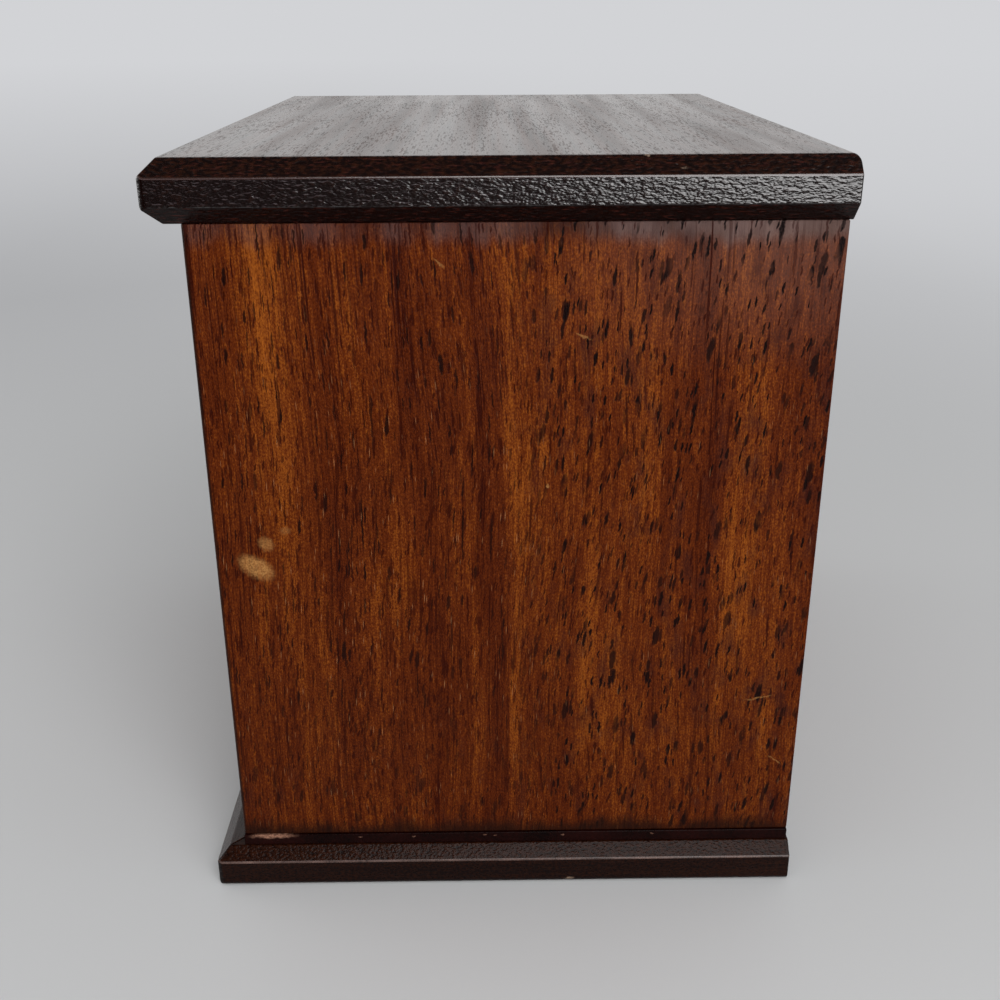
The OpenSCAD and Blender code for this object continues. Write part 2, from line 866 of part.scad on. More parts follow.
module drawer_back(z0, open_h) {
    x1 = drawer_l / 2 - drawer_wall_t - glue;
    z = z0 + drawer_lift + drawer_bottom_z + drawer_bottom_t + glue;
    color(mahogany) block(
        [-x1, drawer_y1 - drawer_wall_t, z],
        [x1, drawer_y1, z0 + open_h - drawer_gap - drawer_side_drop]
    );
}

module drawer_lining(z0, open_h) {
    x1 = drawer_l / 2 - drawer_wall_t - glue;
    y0 = rail_back_y + glue;
    y1 = drawer_y1 - drawer_wall_t - glue;
    z = z0 + drawer_lift + drawer_bottom_z + drawer_bottom_t + glue;
    z1 = z0 + open_h - drawer_gap - drawer_side_drop - lining_drop;
    color(velvet) difference() {
        block([-x1, y0, z], [x1, y1, z1]);
        block([-x1 + lining_t, y0 + lining_t, z + lining_t], [x1 - lining_t, y1 - lining_t, z1 + 1]);
    }
}

// Half outline of a turned knob: a foot, a waisted neck and a rounded head
function knob_outline() =
    let (
        foot_r = knob_r * 0.72, neck_r = knob_r * 0.42,
        head_h = knob_r * 1.05, neck_h = knob_l - knob_foot_t - head_h
    )
    concat(
        [[0, 0], [foot_r, 0], [foot_r, knob_foot_t]],
        [for (a = [0 : 22.5 : 90])
            [foot_r - (foot_r - neck_r) * sin(a), knob_foot_t + neck_h * (1 - cos(a))]],
        [for (a = [-60 : 15 : 90])
            [knob_r * cos(a), knob_l - head_h / 2 + head_h / 2 * sin(a)]]
    );

module knob(z0, open_h) {
    color(brass) knob_place(z0, open_h) difference() {
        rotate_extrude() polygon(knob_outline());
        translate([0, 0, -1]) cylinder(r = knob_screw_r + glue, h = knob_hole_l + 1);
    }
}

module knob_screw(z0, open_h) {
    head_z = -front_t + glue;
    color(steel) knob_place(z0, open_h) {
        translate([0, 0, head_z]) cylinder(r = screw_head_r, h = screw_head_h);
        translate([0, 0, head_z]) cylinder(r = knob_screw_r, h = knob_screw_l);
    }
}

upper_z = divider_z + shelf_t;

module upper_drawer_front() { drawer_front(upper_z, upper_open_h); }
module upper_drawer_sides() { drawer_sides(upper_z, upper_open_h); }
module upper_drawer_back() { drawer_back(upper_z, upper_open_h); }
module upper_drawer_bottom() { drawer_bottom(upper_z); }
module upper_drawer_lining() { drawer_lining(upper_z, upper_open_h); }
module upper_drawer_knob() { knob(upper_z, upper_open_h); }
module upper_drawer_screw() { knob_screw(upper_z, upper_open_h); }

module lower_drawer_front() { drawer_front(case_z, lower_open_h); }
module lower_drawer_sides() { drawer_sides(case_z, lower_open_h); }
module lower_drawer_back() { drawer_back(case_z, lower_open_h); }
module lower_drawer_bottom() { drawer_bottom(case_z); }
module lower_drawer_lining() { drawer_lining(case_z, lower_open_h); }
module lower_drawer_knob() { knob(case_z, lower_open_h); }
module lower_drawer_screw() { knob_screw(case_z, lower_open_h); }

// Movement, in its own axes

pedestal_z1 = comb_z + comb_t - comb_base_t;
comb_l = comb_teeth * comb_pitch;
comb_x0 = (drum_x0 + drum_x1 - comb_l) / 2;
comb_screw_xs = [comb_x0 + comb_l * 0.22, comb_x0 + comb_l * 0.78];
comb_screw_y = comb_back_y - comb_screw_r * 2.6;
gov_y = -gov_dist;
worm_y = gov_y - worm_dist;

module bedplate() {
    color(zinc) in_movement() difference() {
        union() {
            linear_extrude(bed_t) bed_outline();
            block([comb_x0, comb_root_y + fit, bed_t - glue], [comb_x0 + comb_l, comb_back_y, pedestal_z1]);
        }
        translate([0, 0, -1]) cylinder(r = arbor_r + run, h = bed_t + 2);
        translate([worm_x, worm_y, -1]) cylinder(r = spindle_r + run, h = bed_t + 2);
        for (p = bed_screws) translate([p[0], p[1], -1]) cylinder(r = bed_screw_r + fit, h = bed_t + 2);
        for (x = comb_screw_xs) translate([x, comb_screw_y, pedestal_z1 - comb_screw_l])
            cylinder(r = comb_screw_r + glue, h = comb_screw_l + 1);
    }
}

module bed_outline() {
    r = bed_corner_r;
    x0 = -bed_left;
    x1 = bed_right;
    translate([x0 + r, -bed_down]) square([x1 - x0 - 2 * r, bed_down + bed_up]);
    translate([x0, -bed_down + r]) square([x1 - x0, bed_down + bed_up - 2 * r]);
    for (x = [x0 + r, x1 - r]) for (y = [-bed_down + r, bed_up - r]) translate([x, y]) circle(r);
}

module bedplate_screws() {
    color(steel) in_movement() for (p = bed_screws) translate([p[0], p[1], 0]) {
        translate([0, 0, bed_t + run]) cylinder(r = bed_screw_r * 1.8, h = bed_screw_head_h);
        translate([0, 0, -bed_screw_l]) cylinder(r = bed_screw_r, h = bed_screw_l + bed_t + bed_screw_head_h);
    }
}

// Two plates that carry the cylinder's arbor; the second also carries the governor's inner pivot
module cylinder_bridges() {
    z0 = bed_t + run;
    z1 = axis_z + bridge_rise;
    w = bridge_half_w;
    color(brass) in_movement() difference() {
        union() {
            block([bridge_a_x, -w, z0], [bridge_a_x + bridge_t, w, z1]);
            block([bridge_b_x, gov_y - gov_bridge_w, z0], [bridge_b_x + bridge_t, w, z1]);
        }
        translate([bridge_a_x - 1, 0, axis_z]) rotate([0, 90, 0])
            cylinder(r = cyl_arbor_r + run, h = bridge_b_x - bridge_a_x + bridge_t + 2);
        translate([bridge_b_x - 1, gov_y, axis_z]) rotate([0, 90, 0])
            cylinder(r = spindle_r + run, h = bridge_t + 2);
    }
}

// A steel plate cut into tuned teeth, the longest at the bass end
module comb() {
    slot_w = comb_pitch * 0.32;
    tip_y = cylinder_r + pin_h + comb_tip_gap;
    x1 = comb_x0 + comb_l;
    color(steel) in_movement() difference() {
        union() {
            block([comb_x0, comb_root_y, pedestal_z1 + run], [x1, comb_back_y, comb_z + comb_t]);
            block(
                [comb_x0 + slot_w / 2, tip_y, comb_z],
                [x1 - slot_w / 2, comb_root_y + fit, comb_z + comb_t]
            );
        }
        for (i = [1 : comb_teeth - 1]) translate([comb_x0 + i * comb_pitch, 0, 0]) block(
            [-slot_w / 2, tip_y - 1, pedestal_z1],
            [slot_w / 2, comb_root_y + comb_slope * (1 - i / comb_teeth), comb_z + comb_t + 1]
        );
        for (x = comb_screw_xs) translate([x, comb_screw_y, pedestal_z1 - 1])
            cylinder(r = comb_screw_r + fit, h = comb_base_t + 2);
    }
}

module comb_screws() {
    z1 = comb_z + comb_t + run;
    color(brass) in_movement() for (x = comb_screw_xs) translate([x, comb_screw_y, 0]) {
        translate([0, 0, z1]) cylinder(r = comb_screw_r * 1.8, h = comb_screw_head_h);
        translate([0, 0, pedestal_z1 - comb_screw_l + fit])
            cylinder(r = comb_screw_r, h = z1 - pedestal_z1 + comb_screw_l);
    }
}

// Spring drum with a flange whose crown teeth drive the pinion
module spring_barrel() {
    flange_r = crown_r + crown_w / 2;
    pitch = 2 * PI * crown_r / crown_teeth;
    base_w = pitch * 0.24;
    top_w = pitch * 0.105;
    color(brass) in_movement() difference() {
        union() {
            translate([0, 0, crown_base_z - flange_t]) cylinder(r = flange_r, h = flange_t);
            translate([0, 0, crown_base_z - glue])
                cylinder(r = barrel_r, h = barrel_z1 - crown_base_z + glue);
            for (i = [0 : crown_teeth - 1]) rotate((i + 0.5) * 360 / crown_teeth)
                translate([crown_r - crown_w / 2, 0, crown_base_z - glue])
                    rotate([90, 0, 90]) linear_extrude(crown_w)
                        polygon([
                            [-base_w, 0], [base_w, 0],
                            [top_w, crown_h + glue], [-top_w, crown_h + glue]
                        ]);
        }
        translate([0, 0, crown_base_z]) cylinder(r = barrel_r - barrel_wall, h = arbor_z1);
        cylinder(r = arbor_r + run, h = arbor_z1);
    }
}

module barrel_cap() {
    color(brass) in_movement() translate([0, 0, cap_z0]) difference() {
        cylinder(r = barrel_r - barrel_wall - glue, h = cap_t);
        translate([0, 0, -1]) cylinder(r = arbor_r + run, h = cap_t + 2);
    }
}

// A flat spiral strip between the arbor and the drum's wall
module mainspring() {
    turns = 7;
    steps = 20;
    n = turns * steps;
    r0 = arbor_r + spring_gap;
    r1 = barrel_r - barrel_wall - spring_strip_t - spring_gap / 2;
    spiral = [for (i = [0 : n]) [r0 + (r1 - r0) * i / n, i * 360 / steps]];
    inner = [for (p = spiral) p[0] * [cos(p[1]), sin(p[1])]];
    outer = [for (i = [n : -1 : 0]) (spiral[i][0] + spring_strip_t) * [cos(spiral[i][1]), sin(spiral[i][1])]];
    color(steel) in_movement() translate([0, 0, crown_base_z + spring_gap])
        linear_extrude(cap_z0 - crown_base_z - 2 * spring_gap) polygon(concat(inner, outer));
}

key_z0 = -back_t - key_gap;

module winding_arbor() {
    z0 = key_z0 - key_hub_l + key_gap;
    color(steel) in_movement() {
        translate([0, 0, z0]) cylinder(r = arbor_r, h = arbor_z1 - z0);
        translate([0, 0, -key_gap - arbor_collar_t]) cylinder(r = arbor_collar_r, h = arbor_collar_t);
    }
}

// Two pierced wings on a round hub, flat along the arbor
module winding_key() {
    wing_x = key_wing_r * 1.05;
    wing_z = key_z0 - key_l + key_gap + key_wing_r;
    color(brass) in_movement() difference() {
        union() {
            translate([0, 0, key_z0 - key_hub_l]) cylinder(r = key_hub_r, h = key_hub_l);
            translate([0, key_t / 2, 0]) rotate([90, 0, 0]) linear_extrude(key_t) difference() {
                union() {
                    for (side = [-1, 1]) translate([side * wing_x, wing_z]) circle(key_wing_r);
                    translate([-wing_x, wing_z - key_wing_r * 0.55]) square([2 * wing_x, key_wing_r * 1.1]);
                    translate([-key_hub_r, wing_z]) square([2 * key_hub_r, key_z0 - key_hub_l / 2 - wing_z]);
                }
                for (side = [-1, 1]) translate([side * wing_x, wing_z]) circle(key_wing_r * 0.5);
            }
        }
        translate([0, 0, key_z0 - key_hub_l + key_gap - run]) cylinder(r = arbor_r + run, h = key_hub_l);
    }
}

// Cylinder's arbor with the pinion that the barrel drives
module drive_pinion() {
    r = pinion_r;
    outline = gear_outline(pinion_teeth, r, r + pinion_tip, r - pinion_root, 0.26, 0.19, 0.08);
    x0 = pinion_x - pinion_stub;
    x1 = wheel_x + wheel_w + pinion_stub;
    color(steel) in_movement() translate([0, 0, axis_z]) {
        along_x(pinion_x, pinion_x + pinion_w) polygon(outline);
        translate([x0, 0, 0]) rotate([0, 90, 0]) cylinder(r = cyl_arbor_r, h = x1 - x0);
    }
}

module tune_cylinder() {
    color(brass) in_movement() translate([drum_x0, 0, axis_z]) rotate([0, 90, 0]) difference() {
        cylinder(r = cylinder_r, h = drum_x1 - drum_x0);
        translate([0, 0, -1]) cylinder(r = cyl_arbor_r + glue, h = drum_x1 - drum_x0 + 2);
    }
}

// Pins in the comb's tracks, spread round the cylinder by the golden angle
module cylinder_pins() {
    golden = 137.508;
    color(steel) in_movement() translate([0, 0, axis_z])
        for (track = [0 : comb_teeth - 1]) for (k = [0 : pins_per_track - 1])
            translate([comb_x0 + (track + 0.5) * comb_pitch, 0, 0])
                rotate([(track * pins_per_track + k) * golden, 0, 0])
                    translate([0, 0, cylinder_r + 0.02]) cylinder(r = 0.2, h = pin_h - 0.02);
}

module cylinder_wheel() {
    r = wheel_module * wheel_teeth / 2;
    outline = gear_outline(wheel_teeth, r, r + wheel_tip, r - wheel_root, 0.25, 0.19, 0.09);
    color(brass) in_movement() translate([0, 0, axis_z]) difference() {
        along_x(wheel_x, wheel_x + wheel_w) polygon(outline);
        translate([wheel_x - 1, 0, 0]) rotate([0, 90, 0]) cylinder(r = cyl_arbor_r + glue, h = wheel_w + 2);
    }
}

// Post with the governor's outer pivot, the air brake's upper pivot and the stop rod's guide
module governor_frame() {
    z1 = cock_z + cock_t;
    guide_x1 = rod_x + guide_wall;
    guide_y0 = worm_y - guide_t;
    color(brass) in_movement() difference() {
        union() {
            block(
                [post_x, worm_y - 2 * cock_half_w, bed_t + run],
                [post_x + post_t, gov_y + gov_bridge_w, z1]
            );
            block(
                [worm_x - cock_half_w, worm_y - cock_half_w, cock_z],
                [post_x + fit, worm_y + cock_half_w, z1]
            );
            block([post_x + fit, guide_y0, z1 - guide_arm_h], [guide_x1, worm_y, z1]);
            block([guide_x0, guide_y0, z1 - guide_arm_h], [guide_x1, worm_y, rod_z + guide_wall]);
        }
        translate([post_x - 1, gov_y, axis_z]) rotate([0, 90, 0])
            cylinder(r = spindle_r + run, h = post_t + 2);
        translate([worm_x, worm_y, cock_z - 1]) cylinder(r = spindle_r + run, h = cock_t + 2);
        translate([rod_x, guide_y0 - 1, rod_z]) rotate([-90, 0, 0])
            cylinder(r = rod_r + run, h = guide_t + 2);
    }
}

module governor_wheel() {
    r = wheel_module * gov_teeth / 2;
    w = worm_wheel_r;
    small = gear_outline(gov_teeth, r, r + wheel_tip, r - wheel_root, 0.22, 0.17, 0.08, 180 / gov_teeth);
    large = gear_outline(worm_wheel_teeth, w, w + worm_wheel_tip, w - worm_wheel_root, 0.23, 0.18, 0.09);
    x0 = bridge_b_x + fit;
    color(brass) in_movement() translate([0, gov_y, axis_z]) {
        along_x(wheel_x - fit, worm_wheel_x + glue) polygon(small);
        along_x(worm_wheel_x, worm_wheel_x + worm_wheel_w) polygon(large);
        translate([x0, 0, 0]) rotate([0, 90, 0]) cylinder(r = spindle_r, h = post_x + post_t - fit - x0);
    }
}

// A round thread: one circle carried round the axis as it climbs
module worm_thread() {
    sides = 12;
    steps = 45;
    start = 270 - 360 * (axis_z - worm_z0) / worm_pitch;
    turn = 360 * worm_l / worm_pitch / steps;
    points = [
        for (i = [0 : steps]) for (j = [0 : sides - 1])
            let (a = start + i * turn, b = j * 360 / sides)
            [
                worm_throw * cos(a) + worm_core_r * cos(b),
                worm_throw * sin(a) + worm_core_r * sin(b),
                worm_z0 + worm_l * i / steps
            ]
    ];
    flanks = [
        for (i = [0 : steps - 1]) for (j = [0 : sides - 1])
            let (k = (j + 1) % sides, low = i * sides, high = low + sides)
            [low + j, high + j, high + k, low + k]
    ];
    foot = [for (j = [0 : sides - 1]) j];
    head = [for (j = [sides - 1 : -1 : 0]) steps * sides + j];
    polyhedron(points, concat([foot, head], flanks));
}

// Worm spindle with two vanes that beat the air
module air_brake() {
    worm_z1 = worm_z0 + worm_l;
    color(steel) in_movement() translate([worm_x, worm_y, 0]) {
        worm_thread();
        translate([0, 0, spindle_foot]) cylinder(r = spindle_r, h = worm_z0 - spindle_foot + fit);
        translate([0, 0, worm_z1 - fit]) cylinder(r = spindle_r, h = fly_z - worm_z1 + 2 * fit);
        translate([0, 0, fly_z]) cylinder(r = fly_hub_r, h = fly_h);
        block([-fly_r, -fly_t / 2, fly_z + fly_t / 2], [fly_r, fly_t / 2, fly_z + fly_h - fly_t / 2]);
    }
}

// Wire that the lid presses down; its finger stands beside the vanes
module stop_rod() {
    rod_y1 = top_z - mv_z - rod_lid_gap;
    color(steel) in_movement() {
        translate([rod_x, rod_y0, rod_z]) rotate([-90, 0, 0]) cylinder(r = rod_r, h = rod_y1 - rod_y0);
        translate([worm_x, finger_y, rod_z]) rotate([0, 90, 0]) cylinder(r = finger_r, h = rod_x - worm_x);
    }
}

end_panel_right();
end_panel_left();
back_panel();
front_rail();
tray_floor();
drawer_divider();
bottom_board();
plinth_front();
plinth_back();
plinth_right();
plinth_left();
bottom_screws();
tray_lining();
tray_partitions();
ring_rolls();
movement_cover();
hinge_case_leaves();
hinge_pins();
hinge_case_screws();
lid_board();
mirror_card();
mirror_glass();
mirror_frame();
hinge_lid_leaves();
hinge_lid_screws();
upper_drawer_front();
upper_drawer_sides();
upper_drawer_back();
upper_drawer_bottom();
upper_drawer_lining();
upper_drawer_knob();
upper_drawer_screw();
lower_drawer_front();
lower_drawer_sides();
lower_drawer_back();
lower_drawer_bottom();
lower_drawer_lining();
lower_drawer_knob();
lower_drawer_screw();
bedplate();
cylinder_bridges();
comb();
comb_screws();
bedplate_screws();
spring_barrel();
barrel_cap();
mainspring();
winding_arbor();
winding_key();
drive_pinion();
tune_cylinder();
cylinder_pins();
cylinder_wheel();
governor_frame();
governor_wheel();
air_brake();
stop_rod();
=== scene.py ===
"""Musical jewelry box: the CAD frame dressed with its woods, velvet and metals."""

import math
from functools import partial

import bmesh
import bpy
from mathutils import Matrix, Vector


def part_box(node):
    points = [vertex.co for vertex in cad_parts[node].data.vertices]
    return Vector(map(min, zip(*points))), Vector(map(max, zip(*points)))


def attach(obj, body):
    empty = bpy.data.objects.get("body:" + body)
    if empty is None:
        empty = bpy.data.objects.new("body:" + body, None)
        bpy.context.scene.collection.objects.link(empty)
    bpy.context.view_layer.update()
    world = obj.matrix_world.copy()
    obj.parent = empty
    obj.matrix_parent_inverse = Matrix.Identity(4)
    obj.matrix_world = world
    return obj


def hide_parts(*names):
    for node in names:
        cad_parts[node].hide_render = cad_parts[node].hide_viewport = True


bl_info = {
    "name": "Musical Jewelry Box",
    "version": (1, 0, 0),
    "blender": (4, 5, 0),
    "location": "3D View > Sidebar > Jewelry Box",
    "description": "Dresses the packed jewelry box with its woods, velvet and metals",
    "category": "Object",
}

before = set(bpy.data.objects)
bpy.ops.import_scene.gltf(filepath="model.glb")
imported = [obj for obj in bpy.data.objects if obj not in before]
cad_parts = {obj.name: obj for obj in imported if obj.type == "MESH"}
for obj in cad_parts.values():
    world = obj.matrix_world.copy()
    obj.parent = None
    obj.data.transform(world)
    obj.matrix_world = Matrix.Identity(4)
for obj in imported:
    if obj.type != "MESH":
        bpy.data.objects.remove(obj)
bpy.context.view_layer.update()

MM = 0.001
# Object coordinates are metres; patterns are written in millimetres.
IN_MM = (1 / MM, 1 / MM, 1 / MM)
# Turns Object coordinates so that the grain runs along Z.
GRAIN_TURN = {"Z": (0.0, 0.0, 0.0), "X": (0.0, -math.pi / 2, 0.0), "Y": (math.pi / 2, 0.0, 0.0)}

# Streaks of the veneer: width and length in millimetres, and detail.
VENEER_LAYERS = {
    "broad": (15.0, 260.0, 2.0),
    "band": (3.6, 85.0, 2.0),
    "streak": (1.1, 34.0, 2.0),
    "fibre": (0.32, 5.0, 1.0),
    "line": (0.8, 70.0, 1.0),
    "patch": (9.0, 26.0, 2.0),
    "slow": (13.0, 48.0, 1.0),
    "grit": (0.34, 0.55, 2.0),
    "smoke": (4.5, 10.0, 2.0),
}
# How much each layer adds to the veneer's tone.
VENEER_WEIGHTS = {
    "broad": 0.37,
    "slow": 0.11,
    "band": 0.14,
    "streak": 0.13,
    "fibre": 0.17,
    "grit": 0.26,
}

# The near end: its front edge and its depth in millimetres.
END_FRONT, END_DEPTH = -74.0, 140.0
# Its streaks shift towards the back on their way down, by a share of the height, in all this far.
LEAN, LEAN_SHIFT = 0.029, 5.0
# Tones of its broad streaks from the front edge to the back, by place in millimetres.
NEAR_LEAF = (
    (-74.0, 0.26),
    (-66.0, 0.34),
    (-60.0, 0.68),
    (-55.0, 0.52),
    (-47.0, 0.16),
    (-40.0, 0.36),
    (-33.0, 0.42),
    (-28.5, 0.10),
    (-24.0, 0.46),
    (-17.0, 0.44),
    (-13.0, 0.10),
    (-10.0, 0.40),
    (-7.0, 0.82),
    (-4.5, 0.52),
    (2.0, 0.48),
    (12.0, 0.58),
    (22.0, 0.60),
    (31.0, 0.50),
    (38.0, 0.16),
    (45.0, 0.58),
    (55.0, 0.46),
    (66.0, 0.40),
)
# Rubbed places: middle and half sizes in millimetres, turn in degrees, strength.
NEAR_MARKS = (
    ((96.0, -64.7, 89.4), (4.0, 5.8, 3.3), -32.0, 1.0),
    ((96.0, -61.9, 95.4), (4.0, 2.6, 2.2), -35.0, 0.6),
    ((96.0, -57.2, 98.6), (4.0, 1.8, 1.4), 30.0, 0.3),
    ((96.0, 3.3, 109.2), (4.0, 0.7, 0.7), 0.0, 1.0),
    ((96.0, 10.5, 144.0), (4.0, 2.4, 0.35), -20.0, 0.55),
    ((96.0, -20.4, 160.1), (4.0, 1.8, 0.35), -42.0, 0.5),
    ((96.0, 55.6, 52.6), (4.0, 4.2, 0.35), 12.0, 0.5),
    ((96.0, 61.0, 34.5), (4.0, 2.8, 0.35), -38.0, 0.5),
)
LID_CHIPS = (
    ((95.9, 22.9, 181.9), (0.8, 1.1, 0.35), 0.0, 0.8),
    ((98.0, 30.2, 179.4), (1.0, 0.9, 0.3), 0.0, 0.4),
)
PLINTH_CHIPS = (
    ((99.4, 9.8, 1.2), (2.0, 1.6, 0.6), 0.0, 0.8),
    ((99.4, 30.5, 0.8), (2.0, 1.1, 0.4), 0.0, 0.4),
)
# Raw wood at the front end of the bottom board's edge, and pale specks further back that are
# painted highlights.
STRIP_CHIPS_AND_GLINTS = (((96.5, -66.4, 13.1), (2.0, 7.0, 0.9), 0.0, 1.0),) + tuple(
    ((96.5, y, 12.6), (2.0, 0.6, 0.25), 0.0, 0.6) for y in (-44.0, -30.5, -12.0, -9.5, 8.0, 31.0)
)

# Streaks of the lacquered wood, as for the veneer.
LACQUER_LAYERS = {
    "cloud": (8.0, 150.0, 2.0),
    "streak": (2.0, 70.0, 2.0),
    "fibre": (0.45, 9.0, 1.0),
    "fleck": (0.42, 4.2, 1.0),
    "group": (9.0, 40.0, 1.0),
}
# Orange peel: the size of its ridges in millimetres, how far tone follows them, and its base.
PEEL = {"edges": ((0.9, 1.3, 0.6), 0.95, 0.0), "slopes": ((0.6, 0.85, 0.45), 0.7, 0.35)}

# Profile of a knob: distance from the drawer's face and radius, in millimetres.
KNOB_FOOT = (
    *((0.0, 4.5), (0.12, 4.64), (0.3, 4.68), (0.85, 4.68), (1.05, 4.6), (1.15, 4.42)),
    *((1.2, 4.2), (1.5, 3.62), (2.1, 3.22), (3.0, 2.92), (4.0, 2.78), (5.0, 2.73)),
    *((5.6, 2.76), (5.9, 2.95), (6.0, 3.15), (6.2, 3.28), (6.42, 3.2), (6.5, 3.05)),
)
# Its head: distance of the middle, half length and radius.
KNOB_HEAD = (9.59, 3.41, 6.5)

# The photograph's camera, in metres and degrees.
CAMERA_PLACE = (0.34701, -0.01028, 0.20898)
CAMERA_TURN = (67.66892, 0.27405, 89.29367)
SENSOR_WIDTH = 36.0


def linear(code):
    """The linear colour of an sRGB hex value."""
    parts = [int(code[i : i + 2], 16) / 255 for i in (1, 3, 5)]
    return tuple(c / 12.92 if c <= 0.04045 else ((c + 0.055) / 1.055) ** 2.4 for c in parts)


def scaled_colour(colour, *levels):
    """A colour times one level, or times a level for each channel."""
    return tuple(c * level for c, level in zip(colour, levels * (3 // len(levels))))


def tint(name, description, code):
    """A colour that a user can change."""
    return bpy.props.FloatVectorProperty(
        name=name, description=description, subtype="COLOR", default=linear(code)
    )


def length(name, description, millimetres):
    """A length that a user can change."""
    return bpy.props.FloatProperty(
        name=name, description=description, unit="LENGTH", default=millimetres * MM
    )


def power(name, description, watts):
    """A lamp's power that a user can change."""
    return bpy.props.FloatProperty(
        name=name, description=description, unit="POWER", default=watts
    )


class JewelryBoxFinish(bpy.types.PropertyGroup):
    """Colours of the finishes."""

    veneer_deep: tint("Veneer dark streak", "Darkest streaks of the mahogany veneer", "#391002")
    veneer_mid: tint("Veneer body", "Main tone of the mahogany veneer", "#562206")
    veneer_light: tint("Veneer light streak", "Palest orange streaks of the veneer", "#8f4c14")
    veneer_pore: tint("Veneer pores", "Open pores filled with dark stain", "#0d0404")
    veneer_dash: tint("Veneer dashes", "Fine dark red dashes of the veneer", "#270501")
    bare_wood: tint("Bare wood", "Wood where the finish is rubbed through", "#9c6e3e")
    lacquer_body: tint("Espresso lacquer", "Dark lacquer of the lid and plinth", "#2a1207")
    lacquer_deep: tint("Lacquer in pores", "Darker lacquer that has sunk into pores", "#0e0403")
    strip_red: tint("Bottom board lacquer", "Dark red lacquer of its edge", "#140302")
    velvet: tint("Velvet", "Flocked lining of the tray and drawers", "#68172a")
    plywood: tint("Plywood", "Pale wood of the drawer bottoms", "#b98d5c")
    brass: tint("Brass", "Hinges, knobs, cylinder and wheels", "#d3a85c")
    steel: tint("Steel", "Comb, screws, arbors and spring", "#b9bbbe")
    zinc: tint("Zinc", "Die-cast bedplate and governor frame", "#9a9c9f")


class JewelryBoxSizes(bpy.types.PropertyGroup):
    """Sizes that the dressing adds to the CAD frame."""

    wood_arris: length("Worn wood arris", "Rounding of the case's handled edges", 0.28)
    lacquer_arris: length("Rubbed lacquer arris", "Rounding of the lid's and plinth's edges", 0.3)
    board_arris: length("Board arris", "Rounding of inner boards and linings", 0.3)
    metal_arris: length("Metal arris", "Rounding of hinge leaves and the key", 0.15)
    roll_width: length("Ring roll width", "Width of one padded ring roll", 15.0)
    roll_voxel: length("Ring roll mesh", "Mesh size at which a ring roll is blown up", 1.6)


class JewelryBoxStage(bpy.types.PropertyGroup):
    """Floor, light and camera."""

    floor: tint("Floor", "Pale floor", "#d0d1d2")
    backdrop: tint("Backdrop", "Pale surroundings that the camera and gloss see", "#d2d3d6")
    ceiling: tint("Ceiling", "Darker surroundings overhead", "#1b1b1d")
    fill_level: bpy.props.FloatProperty(
        name="Fill light", description="Light from all round", default=0.52
    )
    key_power: power("Key light", "Soft light above the camera", 3.2)
    side_power: power("Side light", "Soft light at the right", 8.0)
    front_power: power("Front light", "Low soft light before the drawers", 2.2)
    lens: bpy.props.FloatProperty(
        name="Lens", description="Focal length in millimetres on a 36 mm sensor", default=42.74
    )


# The field that holds a node's mode.
MODE_FIELD = {
    "Math": "operation",
    "VectorMath": "operation",
    "MapRange": "interpolation_type",
    "Mix": "data_type",
}


def add(tree, kind, inputs=(), out=0, **settings):
    """Adds a node, fills its inputs with sockets or values, sets its fields, gives one output.

    The node's mode follows its kind. Inputs come in order, or by name or number: Map Range has
    value, from low, from high, to low and to high; a colour Mix has factor 0 and colours 6 and 7.
    """
    kind, _, mode = kind.partition(" ")
    made = tree.nodes.new("ShaderNode" + kind)
    if mode:
        setattr(made, MODE_FIELD[kind], mode)
    for field, value in settings.items():
        if field == "stops":
            ramp = made.color_ramp
            while len(ramp.elements) < len(value):
                ramp.elements.new(1.0)
            for element, (place, colour) in zip(ramp.elements, value):
                element.position = place
                element.color = (*colour, 1.0)
        else:
            setattr(made, field, value)
    for key, value in inputs.items() if isinstance(inputs, dict) else enumerate(inputs):
        socket = made.inputs[key]
        if isinstance(value, bpy.types.NodeSocket):
            tree.links.new(value, socket)
        elif socket.type == "RGBA" and len(value) == 3:
            socket.default_value = (*value, 1.0)
        else:
            socket.default_value = value
    return made.outputs[out] if made.outputs else None


def new_material(name):
    """An empty node material, and the function that adds nodes to it."""
    material = bpy.data.materials.new(name)
    material.use_nodes = True
    material.node_tree.nodes.clear()
    return material, partial(add, material.node_tree)


def streaks(put, along, layers):
    """Noise drawn out along the grain, one for each layer of width, length and detail."""
    noise = {}
    for key, (across, stretch, detail) in layers.items():
        scaled = put("Mapping", {"Vector": along, "Scale": (1 / across, 1 / across, 1 / stretch)})
        raw = put("TexNoise", {"Vector": scaled, "Scale": 1.0, "Detail": detail})
        noise[key] = put("MapRange", [raw, 0.28, 0.72])
    return noise


def wobble(put, at, scale, detail, reach):
    """A shift of each point by noise, up to half of reach each way."""
    shift = put("TexNoise", {"Vector": at, "Scale": scale, "Detail": detail}, out="Color")
    shift = put("VectorMath SUBTRACT", [shift, (0.5, 0.5, 0.5)])
    return put("VectorMath MULTIPLY", [shift, reach])


def coated(put, colour, coats):
    """A colour under coats, each a mask and its own colour."""
    for mask, coat in coats:
        colour = put("Mix RGBA", {0: mask, 6: colour, 7: coat}, out=2)
    return colour


